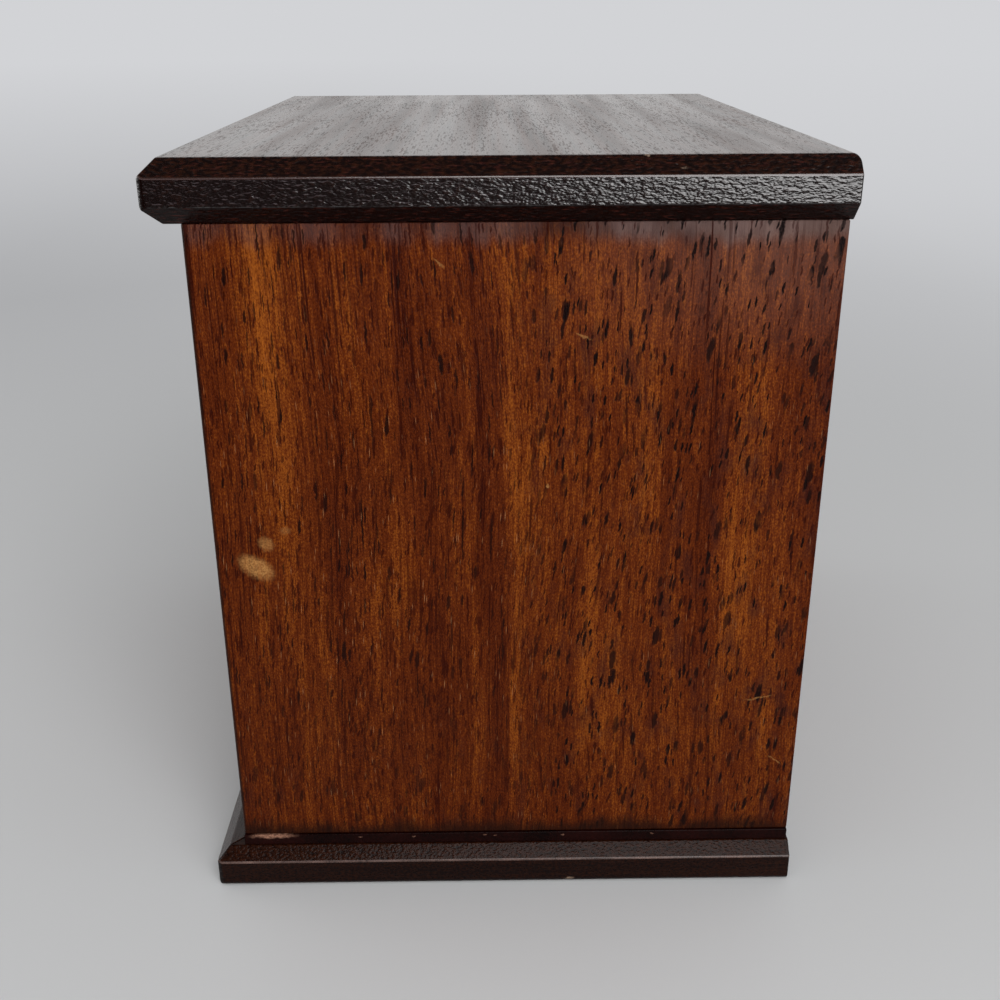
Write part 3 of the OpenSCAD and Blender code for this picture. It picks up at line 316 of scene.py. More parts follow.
def rubbed_spots(put, at, marks):
    """How far a finish is rubbed through, and where painted highlights lie on the bottom board's
    edge: ragged, speckled ellipses.
    """
    fray = wobble(put, at, 800.0, 2.0, (MM, 1.6 * MM, 1.2 * MM))
    frayed = put("VectorMath ADD", [at, fray])
    worn = 0.0
    for place, half, turn, strength in marks:
        ellipse = {
            "Vector": frayed,
            "Location": [c * MM for c in place],
            "Rotation": (math.radians(turn), 0, 0),
            "Scale": [c * MM for c in half],
        }
        local = put("Mapping", ellipse, vector_type="TEXTURE")
        reach = put("VectorMath LENGTH", [local], out="Value")
        spot = put("MapRange SMOOTHSTEP", [reach, 1.0, 0.35, 0.0, strength])
        worn = put("Math MAXIMUM", [worn, spot])
    speck = put("TexNoise", {"Vector": at, "Scale": 2400.0, "Detail": 1.0})
    speck = put("MapRange", [speck, 0.35, 0.65, 0.45, 1.0])
    return put("Math MULTIPLY", [worn, speck])


def pore_cells(put, flat, tilt, across, lengthwise):
    """Distance to the nearest pore's middle in cells, and the random picks of that pore."""
    turned = put("Mapping", {"Vector": flat, "Rotation": (0, 0, math.radians(tilt))})
    scaled = put("Mapping", {"Vector": turned, "Scale": (1 / across, 1 / lengthwise, 1)})
    cells = {"Vector": scaled, "Scale": 1.0}
    gap = put("TexVoronoi", cells, out="Distance", voronoi_dimensions="2D")
    pick = put("SeparateColor", [gap.node.outputs["Color"]], out="Blue")
    return gap, pick, pick.node.outputs["Green"]


def pore_mask(put, flat, fields, whole):
    """Torn oval pores of several fields.

    A field has its tilt, spacing across and along in millimetres, largest radius in cells,
    the pick above which a cell has a pore, where the field lies, and its depth.
    """
    pores = 0.0
    for tilt, across, lengthwise, radius, share, where, depth in fields:
        gap, pick, other = pore_cells(put, flat, tilt, across, lengthwise)
        size = put("MapRange", [pick, share, 1.0, radius * 0.45, radius])
        rim = put("Math DIVIDE", [gap, size])
        dot = put("MapRange SMOOTHSTEP", [rim, 1.0, 0.6])
        opened = put("Math GREATER_THAN", [pick, share])
        filled = put("MapRange", [other, 0.1, 0.7, depth * 0.7, depth])
        for factor in (opened, filled, whole, where):
            dot = put("Math MULTIPLY", [dot, factor])
        pores = put("Math MAXIMUM", [pores, dot])
    return pores


def bloom_with_painted_shade_and_sheen(put, across_y, up_z, noise):
    """Under the lid's edge a dull bloom with painted shadow and sheen, stronger towards the back,
    and a painted sheen below it.
    """
    uneven = up_z
    for key, drop in (("band", 2.2), ("patch", 1.6), ("grit", 1.2)):
        uneven = put("Math MULTIPLY_ADD", [noise[key], drop * MM, uneven])
    # Painted shadow and sheen: a grey band just under the lid's edge, over a dull bloom of the
    # lacquer.
    bloom = put("MapRange SMOOTHSTEP", [uneven, 165.4 * MM, 169.6 * MM])
    towards = put("MapRange", [across_y, -40 * MM, 25 * MM, 0.36, 0.92])
    bloom = put("Math MULTIPLY", [bloom, towards])
    tones = [(0.15, linear("#261613")), (0.85, linear("#584846"))]
    dull = put("ValToRGB", {"Fac": noise["patch"]}, stops=tones)
    # Painted sheen: a pale haze over the upper back of the panel.
    painted_sheen = put("MapRange", {0: up_z, 1: 136 * MM, 2: 166 * MM, 4: 0.22})
    aft = put("MapRange", [across_y, 2 * MM, 50 * MM])
    painted_sheen = put("Math MULTIPLY", [painted_sheen, aft])
    return [(bloom, dull), (painted_sheen, linear("#7a6055"))]


def painted_pore_glints(put, flat, up_z, spare):
    """Painted highlights: pale glints along the pores, up to 0.2 mm wide; fewer near the lid."""
    share = 0.66
    gap, pick, _ = pore_cells(put, flat, 0.0, 0.7, 10.5)
    size = put("MapRange", [pick, share, 1.0, 0.05, 0.14])
    rim = put("Math SUBTRACT", [size, gap])
    painted_glint = put("Math MULTIPLY", [rim, 12.0], use_clamp=True)
    level = put("Math MULTIPLY_ADD", [spare, 0.2, 0.3])
    lower = put("MapRange", [up_z, 152 * MM, 118 * MM, 0.15, 1.0])
    picked = put("Math GREATER_THAN", [pick, share])
    for factor in (level, lower, picked):
        painted_glint = put("Math MULTIPLY", [painted_glint, factor])
    return painted_glint


def mahogany_veneer(finish, name, grain, shift=(0.0, 0.0, 0.0), leaf=(), marks=()):
    """Sliced mahogany under thin satin lacquer: long streaks, dark open pores, painted pale glints.
    """
    material, put = new_material(name)
    at = put("TexCoord", out="Object")
    across_y = put("SeparateXYZ", [at], out="Y")
    up_z = across_y.node.outputs["Z"]
    turned = {"Vector": at, "Rotation": GRAIN_TURN[grain], "Scale": IN_MM, "Location": shift}
    along = put("Mapping", turned)
    # Grain lines wander by a few millimetres over a hand's width.
    drift_at = put("Mapping", {"Vector": along, "Scale": (1 / 40, 1 / 40, 1 / 95)})
    drift = wobble(put, drift_at, 1.0, 1.0, (8.0, 8.0, 0.0))
    along = put("VectorMath ADD", [along, drift])
    noise = streaks(put, along, VENEER_LAYERS)

    # Broad streaks, and where stained pores crowd.
    if leaf:
        lean = put("Math MULTIPLY_ADD", [up_z, LEAN, across_y])
        sway = put("SeparateXYZ", [drift], out="Y")
        lean = put("Math MULTIPLY_ADD", [sway, 0.6 * MM, lean])
        front = (END_FRONT + LEAN_SHIFT) * MM
        lean = put("MapRange", [lean, front, front + END_DEPTH * MM])
        stops = [((y - END_FRONT) / END_DEPTH, (tone, tone, tone)) for y, tone in leaf]
        broad = put("ValToRGB", {"Fac": lean}, stops=stops)
        # Towards the foot the streaks even out.
        even = put("MapRange", {0: up_z, 1: 110 * MM, 2: 45 * MM, 4: 0.5})
        noise["broad"] = put("Mix FLOAT", {0: even, 2: broad, 3: 0.42})
        crowd = put("MapRange SMOOTHSTEP", [lean, 0.45, 0.56])
        low = put("MapRange", {0: up_z, 1: 62 * MM, 2: 24 * MM, 4: 0.7})
        crowd = put("Math MAXIMUM", [crowd, low])
    else:
        crowd = put("MapRange", [noise["patch"], 0.35, 0.7])
    spare = put("Math SUBTRACT", [1.0, crowd])
    tone = 0.0
    for key, weight in VENEER_WEIGHTS.items():
        tone = put("Math MULTIPLY_ADD", [noise[key], weight, tone])
    tones = [(0.38, finish.veneer_deep), (0.59, finish.veneer_mid), (0.9, finish.veneer_light)]
    colour = put("ValToRGB", {"Fac": tone}, stops=tones)
    coats = bloom_with_painted_shade_and_sheen(put, across_y, up_z, noise) if leaf else []

    # Pores are torn, and lie flat on the face: one coordinate across the grain and one along it.
    torn = wobble(put, along, 1 / 1.3, 1.0, (0.45, 0.45, 2.0))
    ragged = put("VectorMath ADD", [along, torn])
    flat = []
    for spot in (ragged, along):
        side = put("SeparateXYZ", [spot], out="X")
        parts = side.node.outputs
        side = put("Math ADD", [side, parts["Y"]])
        flat.append(put("CombineXYZ", {"X": side, "Y": parts["Z"]}))
    cluster = put("MapRange", [noise["smoke"], 0.2, 0.55])
    cluster = put("Math MULTIPLY", [cluster, crowd])
    black = (
        (9.0, 2.1, 7.8, 0.46, 0.84, cluster, 1.0),
        (8.0, 1.2, 6.2, 0.46, 0.76, cluster, 1.0),
        (7.0, 0.8, 4.2, 0.46, 0.84, crowd, 1.0),
        (1.0, 0.7, 7.0, 0.44, 0.88, spare, 0.85),
        (3.0, 1.4, 8.0, 0.42, 0.93, spare, 0.9),
        (-1.0, 2.0, 60.0, 0.15, 0.78, spare, 0.9),
    )
    red = (
        (5.0, 0.7, 3.8, 0.46, 0.80, 1.0, 0.85),
        (0.0, 0.75, 8.0, 0.44, 0.74, spare, 0.85),
        (0.0, 1.3, 26.0, 0.32, 0.76, 1.0, 0.8),
    )
    whole = put("MapRange", [noise["grit"], 0.1, 0.5, 0.82, 1.0])
    dashes = pore_mask(put, flat[0], red, whole)
    pores = pore_mask(put, flat[0], black, whole)
    # Stain has spread round the crowded pores as a dull smoke.
    smoke = put("MapRange", {0: noise["smoke"], 1: 0.55, 2: 0.95, 4: 0.5})
    smoke = put("Math MULTIPLY", [smoke, crowd])
    # Long dark lines run where the leaf is dark.
    lines = put("MapRange", [noise["line"], 0.72, 0.86])
    shade = put("MapRange", [noise["broad"], 0.5, 0.2, 0.15, 0.9])
    lines = put("Math MULTIPLY", [lines, shade])
    dashes = put("Math MAXIMUM", [dashes, lines])
    coats += [(smoke, linear("#2c1310")), (dashes, finish.veneer_dash), (pores, finish.veneer_pore)]
    # Painted highlights: pale glints beside the pores.
    coats.append((painted_pore_glints(put, flat[1], up_z, spare), linear("#b07a50")))
    # Painted shade: the panel darkens towards the foot, where less light falls.
    foot = put("MapRange", {0: up_z, 1: 150 * MM, 2: 20 * MM, 4: 0.16})
    coats.append((foot, linear("#240a03")))
    # Dirt and painted shade darken the panel over the plinth; painted shade darkens the front
    # arris.
    uneven = put("Math MULTIPLY_ADD", [noise["patch"], -3.0 * MM, up_z])
    grime_and_painted_shade = put("MapRange SMOOTHSTEP", {0: uneven, 1: 17.5 * MM, 2: 12.5 * MM, 4: 0.85})
    outer = put("Math ABSOLUTE", [across_y.node.outputs["X"]])
    outer = put("MapRange", {0: outer, 1: 95.0 * MM, 2: 95.7 * MM, 4: 0.8})
    # Painted shade along the front arris.
    arris = put("MapRange", {0: across_y, 1: -72.8 * MM, 2: -73.5 * MM, 4: 0.8})
    arris = put("Math MINIMUM", [arris, outer])
    grime_and_painted_shade = put("Math MAXIMUM", [grime_and_painted_shade, arris])
    coats.append((grime_and_painted_shade, linear("#1a0a05")))
    if marks:
        coats.append((rubbed_spots(put, at, marks), finish.bare_wood))
    colour = coated(put, colour, coats)

    # Lacquer hollows over the pores and follows the fibre a little.
    dark = put("Math MAXIMUM", [pores, dashes])
    height = put("Math MULTIPLY_ADD", [dark, -1.2, noise["fibre"]])
    height = put("Math MULTIPLY_ADD", [noise["grit"], 0.9, height])
    relief = put("Bump", {"Height": height, "Strength": 0.6, "Distance": 0.07 * MM})
    shine = put("MapRange", [noise["patch"], 0.0, 1.0, 0.32, 0.44])
    satin = {"Base Color": colour, "Roughness": shine, "Specular IOR Level": 0.05, "Normal": relief}
    put("OutputMaterial", {"Surface": put("BsdfPrincipled", satin)})
    return material


def espresso_lacquer(
    finish, name, grain, pebbled, open_grain=1.0, gloss=0.9, painted_shade_level=0.5, chips=()
):
    """Dark gloss lacquer on open-pored wood: flecked along the grain, orange-peeled where thick.

    It is pebbled on every side face, as "edges", or only on upward "slopes". Open grain says how
    deep its pores are, and the painted shade level how much of its tone is left on faces that don't
    look up.
    """
    material, put = new_material(name)
    at = put("TexCoord", out="Object")
    facing = at.node.outputs["Normal"]
    along = put("Mapping", {"Vector": at, "Rotation": GRAIN_TURN[grain], "Scale": IN_MM})
    noise = streaks(put, along, LACQUER_LAYERS)
    ridges, spread, base = PEEL[pebbled]
    peel_at = put("Mapping", {"Vector": at, "Scale": [1 / (size * MM) for size in ridges]})
    raw = put("TexNoise", {"Vector": peel_at, "Scale": 1.0, "Detail": 1.0})
    peel = put("MapRange", [raw, 0.3, 0.7])
    # Where the lacquer lay thick, how high it is pebbled there, and where undercoat shows.
    level = put("SeparateXYZ", [facing], out="Z")
    if pebbled == "edges":
        tilt = put("Math MULTIPLY", [level, level])
        tilt = put("Math SUBTRACT", [1.0, tilt], use_clamp=True)
        tilt = put("Math SQRT", [tilt])
        thick = put("MapRange SMOOTHSTEP", [tilt, 0.3, 0.6])
        swell = put("MapRange", [tilt, 0.75, 0.95, 0.55, 0.85])
        lined = put("MapRange", [tilt, 0.95, 0.75])
    else:
        lower = put("MapRange SMOOTHSTEP", [level, 0.3, 0.5])
        upper = put("MapRange SMOOTHSTEP", [level, 0.95, 0.85])
        thick = put("Math MULTIPLY", [lower, upper])
        swell = 0.5
        lined = put("Math MULTIPLY", [thick, 0.25])
    bumps = put("Math MULTIPLY", [peel, swell])
    tone = put("Math MULTIPLY", [noise["cloud"], 0.4])
    tone = put("Math MULTIPLY_ADD", [noise["streak"], 0.3, tone])
    tone = put("Math MULTIPLY_ADD", [peel, 0.55, tone])
    dull = put("Math MULTIPLY_ADD", [peel, spread, base])
    tone = put("Mix FLOAT", {0: thick, 2: tone, 3: dull})
    # Painted shade: faces that look sideways or down are darker than those that look up.
    up = put("MapRange", [level, 0.1, 0.9, painted_shade_level, 1.0])
    tone = put("Math MULTIPLY", [tone, up])
    tones = [(0.3, finish.lacquer_deep), (0.95, finish.lacquer_body)]
    colour = put("ValToRGB", {"Fac": tone}, stops=tones)
    coats = []
    if pebbled == "edges":
        # Brown grain of the flat top, which gloss hides at low angles.
        grained = put("MapRange", {0: level, 1: 0.95, 2: 1.0, 4: 0.6})
        grained = put("Math MULTIPLY", [grained, noise["streak"]])
        coats.append((grained, linear("#5c2e16")))
    # Red undercoat glimmers through in thin lines.
    lines = [1 / (size * MM) for size in (0.5, 2.2, 0.4)]
    thin_at = put("Mapping", {"Vector": at, "Scale": lines})
    thin = put("TexNoise", {"Vector": thin_at, "Scale": 1.0, "Detail": 2.0})
    thin = put("MapRange", {0: thin, 1: 0.56, 2: 0.74, 4: 0.5})
    for factor in (thick, lined):
        thin = put("Math MULTIPLY", [thin, factor])
    coats.append((thin, linear("#4a2018")))
    if chips:
        coats.append((rubbed_spots(put, at, chips), linear("#86705f")))
    colour = coated(put, colour, coats)
    # Sunken pores come as flecks in loose groups.
    groups = put("MapRange", [noise["group"], 0.3, 0.7, 0.86, 0.66])
    edge = put("Math ADD", [groups, 0.10])
    pores = put("MapRange", [noise["fleck"], groups, edge])
    groove = put("Math MULTIPLY", [noise["fibre"], 0.5])
    groove = put("Math MULTIPLY_ADD", [pores, -0.5, groove])
    groove = put("Math MULTIPLY", [groove, open_grain])
    height = put("Mix FLOAT", {0: thick, 2: groove, 3: bumps})
    relief = put("Bump", {"Height": height, "Strength": 1.0, "Distance": 0.1 * MM})
    # Gloss is patchy along the grain and lost in the pores.
    shine = put("MapRange", [noise["cloud"], 0.2, 0.9, 0.10, 0.25])
    shine = put("Math MULTIPLY_ADD", [pores, 0.16, shine])
    shine = put("Mix FLOAT", {0: thick, 2: shine, 3: 0.2})
    film = {"Base Color": colour, "Roughness": shine, "Specular IOR Level": gloss, "Normal": relief}
    put("OutputMaterial", {"Surface": put("BsdfPrincipled", film)})
    return material


def plain_finish(
    name, colour, roughness, metallic=0.0, grit=0.5, spread=0.12, relief=0.03, gloss=0.5, chips=()
):
    """A metal, card or lacquer with fine uneven tone, gloss and tooling marks of about grit mm."""
    material, put = new_material(name)
    at = put("TexCoord", out="Object")
    fine_at = put("Mapping", {"Vector": at, "Scale": IN_MM})
    fine = put("TexNoise", {"Vector": fine_at, "Scale": 1 / grit, "Detail": 2.0})
    slow = put("TexNoise", {"Vector": fine_at, "Scale": 1 / (grit * 14), "Detail": 2.0})
    tone = put("Math MULTIPLY", [fine, 0.4])
    tone = put("Math MULTIPLY_ADD", [slow, 0.6, tone])
    pale = [min(1.0, c) for c in scaled_colour(colour, 1 + spread)]
    tones = [(0.3, scaled_colour(colour, 1 - spread)), (0.7, pale)]
    shade = put("ValToRGB", {"Fac": tone}, stops=tones)
    if chips:
        bare = {0: rubbed_spots(put, at, chips), 6: shade, 7: linear("#8d6653")}
        shade = put("Mix RGBA", bare, out=2)
    surface = {
        "Base Color": shade,
        "Roughness": put("MapRange", [slow, 0.3, 0.7, roughness * 0.8, roughness * 1.25]),
        "Metallic": metallic,
        "Specular IOR Level": gloss,
        "Normal": put("Bump", {"Height": fine, "Strength": 0.3, "Distance": relief * MM}),
    }
    put("OutputMaterial", {"Surface": put("BsdfPrincipled", surface)})
    return material


def polished_brass(finish):
    """Lacquered brass with a clear, slightly uneven shine, made once."""
    name = "polished brass"
    return bpy.data.materials.get(name) or plain_finish(name, finish.brass, 0.22, 1.0)


def flocked_velvet(finish):
    """Short upright pile, dark when looked into and paler at grazing angles, made once."""
    name = "flocked velvet"
    if name in bpy.data.materials:
        return bpy.data.materials[name]
    material, put = new_material(name)
    at = put("Mapping", {"Vector": put("TexCoord", out="Object"), "Scale": IN_MM})
    brushed = {"Vector": at, "Scale": 1 / 12.0, "Detail": 3.0, "Distortion": 0.8}
    nap = put("MapRange", [put("TexNoise", brushed), 0.2, 0.8])
    pile = put("TexNoise", {"Vector": at, "Scale": 1 / 0.35, "Detail": 2.0})
    tone = put("Math MULTIPLY", [nap, 0.6])
    tone = put("Math MULTIPLY_ADD", [pile, 0.4, tone])
    tones = [(0.25, scaled_colour(finish.velvet, 0.6)), (0.75, scaled_colour(finish.velvet, 1.4))]
    surface = {
        "Base Color": put("ValToRGB", {"Fac": tone}, stops=tones),
        "Roughness": 0.95,
        "Specular IOR Level": 0.15,
        "Sheen Weight": 0.6,
        "Sheen Roughness": 0.4,
        "Sheen Tint": (0.9, 0.45, 0.45),
        "Normal": put("Bump", {"Height": pile, "Strength": 0.6, "Distance": 0.2 * MM}),
    }
    put("OutputMaterial", {"Surface": put("BsdfPrincipled", surface)})
    return material


def worn_copy(solid, materials, width):
    """A copy of a CAD solid, merged, with its outward edges rounded in the last of its finishes."""
    flat, sharp, smooth = (math.radians(angle) for angle in (1.0, 25.0, 32.0))
    bpy.ops.object.select_all(action="DESELECT")
    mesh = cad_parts[solid].data.copy()
    mesh.materials.clear()
    for material in materials:
        mesh.materials.append(material)
    piece = bpy.data.objects.new("dressed_" + solid, mesh)
    bpy.context.scene.collection.objects.link(piece)
    bpy.context.view_layer.objects.active = piece
    piece.select_set(True)
    bpy.ops.object.mode_set(mode="EDIT")
    bpy.ops.mesh.select_all(action="SELECT")
    bpy.ops.mesh.remove_doubles(threshold=0.002 * MM)
    bpy.ops.mesh.dissolve_limited(angle_limit=flat)
    bpy.ops.mesh.select_all(action="DESELECT")
    bpy.ops.mesh.select_mode(type="EDGE")
    form = bmesh.from_edit_mesh(mesh)
    arrises = {
        edge
        for edge in form.edges
        if len(edge.link_faces) == 2 and edge.calc_face_angle_signed(0.0) > sharp
    }
    # An arris is left sharp where the edges beside it are too short for the rounding.
    for edge in arrises:
        beside = {other for vert in edge.verts for other in vert.link_edges} - arrises
        edge.select_set(all(other.calc_length() > 2.1 * width for other in beside))
    bmesh.update_edit_mesh(mesh)
    bpy.ops.mesh.bevel(
        offset=width,
        segments=2,
        profile=0.5,
        affect="EDGES",
        clamp_overlap=False,
        material=len(materials) - 1,
    )
    bpy.ops.object.mode_set(mode="OBJECT")
    bpy.ops.object.shade_smooth_by_angle(angle=smooth)
    bpy.ops.object.modifier_add(type="WEIGHTED_NORMAL")
    piece.modifiers[-1].keep_sharp = True
    bpy.ops.object.modifier_apply(modifier=piece.modifiers[-1].name)
    return piece


def dress(piece, solid, body):
    """Puts a finished piece in the place of its CAD solid."""
    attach(piece, body)
    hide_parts(solid)


def paint(solids, material):
    """Gives CAD solids that keep their shape a finish."""
    for solid in solids:
        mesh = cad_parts[solid].data
        mesh.materials.clear()
        mesh.materials.append(material)


class JEWELRYBOX_OT_stage(bpy.types.Operator):
    """Pale floor, soft light and the photograph's camera"""

    bl_idname = "jewelry_box.stage"
    bl_label = "Stage"

    def execute(self, context):
        settings = context.scene.jewelry_box_stage
        self.floor(context, settings)
        self.room(context, settings)
        self.lamps(context, settings)
        self.camera(context, settings)
        context.scene.view_settings.view_transform = "Standard"
        return {"FINISHED"}

    def floor(self, context, settings):
        """A matt floor that runs into the backdrop far from the box, as a studio sweep does."""
        bpy.ops.object.select_all(action="DESELECT")
        bpy.ops.mesh.primitive_circle_add(vertices=96, radius=6.0, fill_type="NGON")
        floor = context.object
        floor.name = "floor"
        material, put = new_material("matt painted floor")
        at = put("TexCoord", out="Object")
        seen = put("LightPath", out="Is Camera Ray")
        shiny = seen.node.outputs["Is Glossy Ray"]
        # The table ends below the camera: what gloss sees there is dim.
        behind = put("SeparateXYZ", [at], out="X")
        side = behind.node.outputs["Y"]
        behind = put("MapRange SMOOTHSTEP", [behind, 0.2, 0.4])
        behind = put("Math MULTIPLY", [behind, shiny])
        ended = {0: behind, 6: settings.floor, 7: scaled_colour(settings.floor, 0.015)}
        colour = put("Mix RGBA", ended, out=2)
        paint_coat = {"Base Color": colour, "Roughness": 0.8, "Specular IOR Level": 0.2}
        shader = put("BsdfPrincipled", paint_coat)
        away = put("VectorMath LENGTH", [at], out="Value")
        away = put("Math ADD", [away, 0.35])
        away = put("Math DIVIDE", [1.0, away])
        sweep = put("MapRange SMOOTHSTEP", [away, 1.75, 0.5])
        sweep = put("Math MULTIPLY", [sweep, seen])
        # The sweep is paler towards the side light.
        pale = settings.backdrop
        side = put("MapRange", [side, -0.45, 0.45])
        tones = [(0.0, scaled_colour(pale, 0.62)), (1.0, scaled_colour(pale, 0.9))]
        lit = put("ValToRGB", {"Fac": side}, stops=tones)
        far = put("MapRange", [away, 0.95, 0.16])
        lit = put("Mix RGBA", {0: far, 6: lit, 7: pale}, out=2)
        glow = put("Emission", {"Color": lit, "Strength": 1.0})
        put("OutputMaterial", {"Surface": put("MixShader", [sweep, shader, glow])})
        floor.data.materials.append(material)

    def room(self, context, settings):
        """Even fill light, and a pale room that only the camera, gloss and glass see."""
        world = bpy.data.worlds.new("pale room")
        context.scene.world = world
        world.use_nodes = True
        world.node_tree.nodes.clear()
        put = partial(add, world.node_tree)
        way = put("TexCoord", out="Generated")
        rise = put("SeparateXYZ", [way], out="Z")
        behind = rise.node.outputs["X"]
        pale, dim = settings.backdrop, settings.ceiling
        room = put("ValToRGB", {"Fac": rise}, stops=[(0.0, pale), (0.72, pale), (0.93, dim)])
        seen = put("LightPath", out="Is Camera Ray")
        rays = seen.node.outputs
        shiny = rays["Is Glossy Ray"]
        # Behind the camera gloss sees a dim room with one warm strip of light.
        behind = put("MapRange SMOOTHSTEP", [behind, 0.1, 0.6])
        behind = put("Math MULTIPLY", [behind, shiny])
        glow = scaled_colour(dim, 60.0, 49.0, 49.0)
        tones = [(0.12, dim), (0.2, glow), (0.48, glow), (0.62, dim)]
        strip = put("ValToRGB", {"Fac": rise}, stops=tones)
        room = put("Mix RGBA", {0: behind, 6: room, 7: strip}, out=2)
        # Gloss sees the room a little warmer.
        warm = {0: shiny, 6: room, 7: (0.97, 0.95, 0.92)}
        room = put("Mix RGBA", warm, out=2, blend_type="MULTIPLY")
        for ray in (shiny, rays["Is Transmission Ray"]):
            seen = put("Math MAXIMUM", [seen, ray])
        fill = put("Background", {"Color": (1.0, 1.0, 1.0), "Strength": settings.fill_level})
        view = put("Background", {"Color": room, "Strength": 1.0})
        put("OutputWorld", {"Surface": put("MixShader", [seen, fill, view])})

    def lamps(self, context, settings):
        """Softboxes by place and size in metres, aimed at the middle of the box."""
        target = Vector((0.0, 0.0, 0.09))
        for name, place, size, watts in (
            ("key softbox", (0.76, 0.15, 0.74), (0.55, 0.45), settings.key_power),
            ("side softbox", (1.12, 0.54, 0.32), (0.85, 0.6), settings.side_power),
            ("front softbox", (-0.28, -1.1, 0.2), (0.6, 0.3), settings.front_power),
        ):
            lamp = bpy.data.lights.new(name, "AREA")
            lamp.shape = "RECTANGLE"
            lamp.size, lamp.size_y = size
            lamp.energy = watts
            holder = bpy.data.objects.new(name, lamp)
            holder.location = place
            holder.rotation_euler = (target - Vector(place)).to_track_quat("-Z", "Y").to_euler()
            holder.visible_camera = False
            context.scene.collection.objects.link(holder)

    def camera(self, context, settings):
        """The photograph's camera."""
        camera = bpy.data.cameras.new("camera")
        camera.sensor_width = SENSOR_WIDTH
        camera.lens = settings.lens
        camera.clip_start = 0.01
        holder = bpy.data.objects.new("camera", camera)
        holder.location = CAMERA_PLACE
        holder.rotation_euler = [math.radians(angle) for angle in CAMERA_TURN]
        context.scene.collection.objects.link(holder)
        context.scene.camera = holder


class JEWELRYBOX_OT_case(bpy.types.Operator):
    """Veneered case boards, drawer fronts and the bottom board"""

    bl_idname = "jewelry_box.case"
    bl_label = "Case"

    def execute(self, context):
        finish = context.scene.jewelry_box_finish
        sizes = context.scene.jewelry_box_sizes
        near = mahogany_veneer(
            finish, "mahogany veneer near end", "Z", leaf=NEAR_LEAF, marks=NEAR_MARKS
        )
        ends = mahogany_veneer(finish, "mahogany veneer", "Z", shift=(40.0, 13.0, 90.0))
        fronts = mahogany_veneer(finish, "mahogany veneer along", "X", shift=(7.0, 31.0, 11.0))
        for solid, material, body in (
            ("end_panel_right", near, "case"),
            ("end_panel_left", ends, "case"),
            ("back_panel", fronts, "case"),
            ("front_rail", fronts, "case"),
            ("upper_drawer_front", fronts, "upper_drawer"),
            ("lower_drawer_front", fronts, "lower_drawer"),
        ):
            dress(worn_copy(solid, [material], sizes.wood_arris), solid, body)
        paint(["tray_floor", "drawer_divider"], fronts)
        red = plain_finish(
            "dark red lacquer",
            finish.strip_red,
            0.3,
            grit=0.9,
            spread=0.8,
            relief=0.3,
            gloss=0.06,
            chips=STRIP_CHIPS_AND_GLINTS,
        )
        solid = "bottom_board"
        dress(worn_copy(solid, [red], sizes.wood_arris), solid, "case")
        return {"FINISHED"}


class JEWELRYBOX_OT_mouldings(bpy.types.Operator):
    """Lacquered lid board and plinth"""

    bl_idname = "jewelry_box.mouldings"
    bl_label = "Lid and plinth"

    def execute(self, context):
        finish = context.scene.jewelry_box_finish
        sizes = context.scene.jewelry_box_sizes
        lacquer = partial(espresso_lacquer, finish)
        lid = lacquer("espresso lacquer on the lid", "X", "edges", chips=LID_CHIPS)
        lengthwise = lacquer("espresso lacquer lengthwise", "X", "slopes", 0.2, 0.5, 0.7)
        crosswise = lacquer(
            "espresso lacquer crosswise", "Y", "slopes", 0.2, 0.1, 0.7, chips=PLINTH_CHIPS
        )
        # A copy darkened as painted shade, for lower edges and upright corners.
        under = lacquer("espresso lacquer under the lid", "X", "edges", 1.0, 0.1, 0.4)
        inner = lacquer("espresso lacquer inside the lid", "X", "slopes", 1.0, 0.5, 1.6)
        polished = plain_finish(
            "rubbed lacquer arris", linear("#2c1914"), 0.2, grit=0.8, relief=0.1, gloss=1.0
        )
        # Wear and a painted highlight: a paler arris line on the plinth.
        worn_and_highlit = plain_finish(
            "scuffed lacquer arris", linear("#4c3a34"), 0.3, grit=0.45, spread=0.85, gloss=0.4
        )
        # Heights in millimetres between which an arris is rubbed; others keep their lacquer. On the
        # plinth the rubbed arris is paler: wear and a painted highlight.
        lid_rub, plinth_rub = (177.5, 178.9), (6.8, 8.0)
        body_slot, painted_shade_slot, inner_slot, arris_slot = range(4)
        for solid, body, material, arris, (low, high) in (
            ("lid_board", "lid", lid, polished, lid_rub),
            ("plinth_front", "case", lengthwise, worn_and_highlit, plinth_rub),
            ("plinth_back", "case", lengthwise, worn_and_highlit, plinth_rub),
            ("plinth_right", "case", crosswise, worn_and_highlit, plinth_rub),
            ("plinth_left", "case", crosswise, worn_and_highlit, plinth_rub),
        ):
            piece = worn_copy(solid, [material, under, inner, arris], sizes.lacquer_arris)
            for face in piece.data.polygons:
                rubbed = low * MM < face.center.z < high * MM
                if face.material_index == arris_slot and not rubbed:
                    face.material_index = body_slot
                # Painted shade: a darker, duller copy of the lacquer on upright corners and lower
                # edges; a browner copy on flat undersides.
                corner = min(abs(face.normal.x), abs(face.normal.y)) > 0.2
                if face.material_index == body_slot and (face.normal.z < -0.3 or corner):
                    flat = face.normal.z <= -0.95
                    face.material_index = inner_slot if flat else painted_shade_slot
            dress(piece, solid, body)
        return {"FINISHED"}


class JEWELRYBOX_OT_linings(bpy.types.Operator):
    """Velvet linings, partitions and the cover of the movement"""

    bl_idname = "jewelry_box.linings"
    bl_label = "Linings"

    def execute(self, context):
        velvet = flocked_velvet(context.scene.jewelry_box_finish)
        width = context.scene.jewelry_box_sizes.board_arris
        for solid, body in (
            ("tray_lining", "case"),
            ("tray_partitions", "case"),
            ("movement_cover", "case"),
            ("upper_drawer_lining", "upper_drawer"),
            ("lower_drawer_lining", "lower_drawer"),
        ):
            dress(worn_copy(solid, [velvet], width), solid, body)
        return {"FINISHED"}


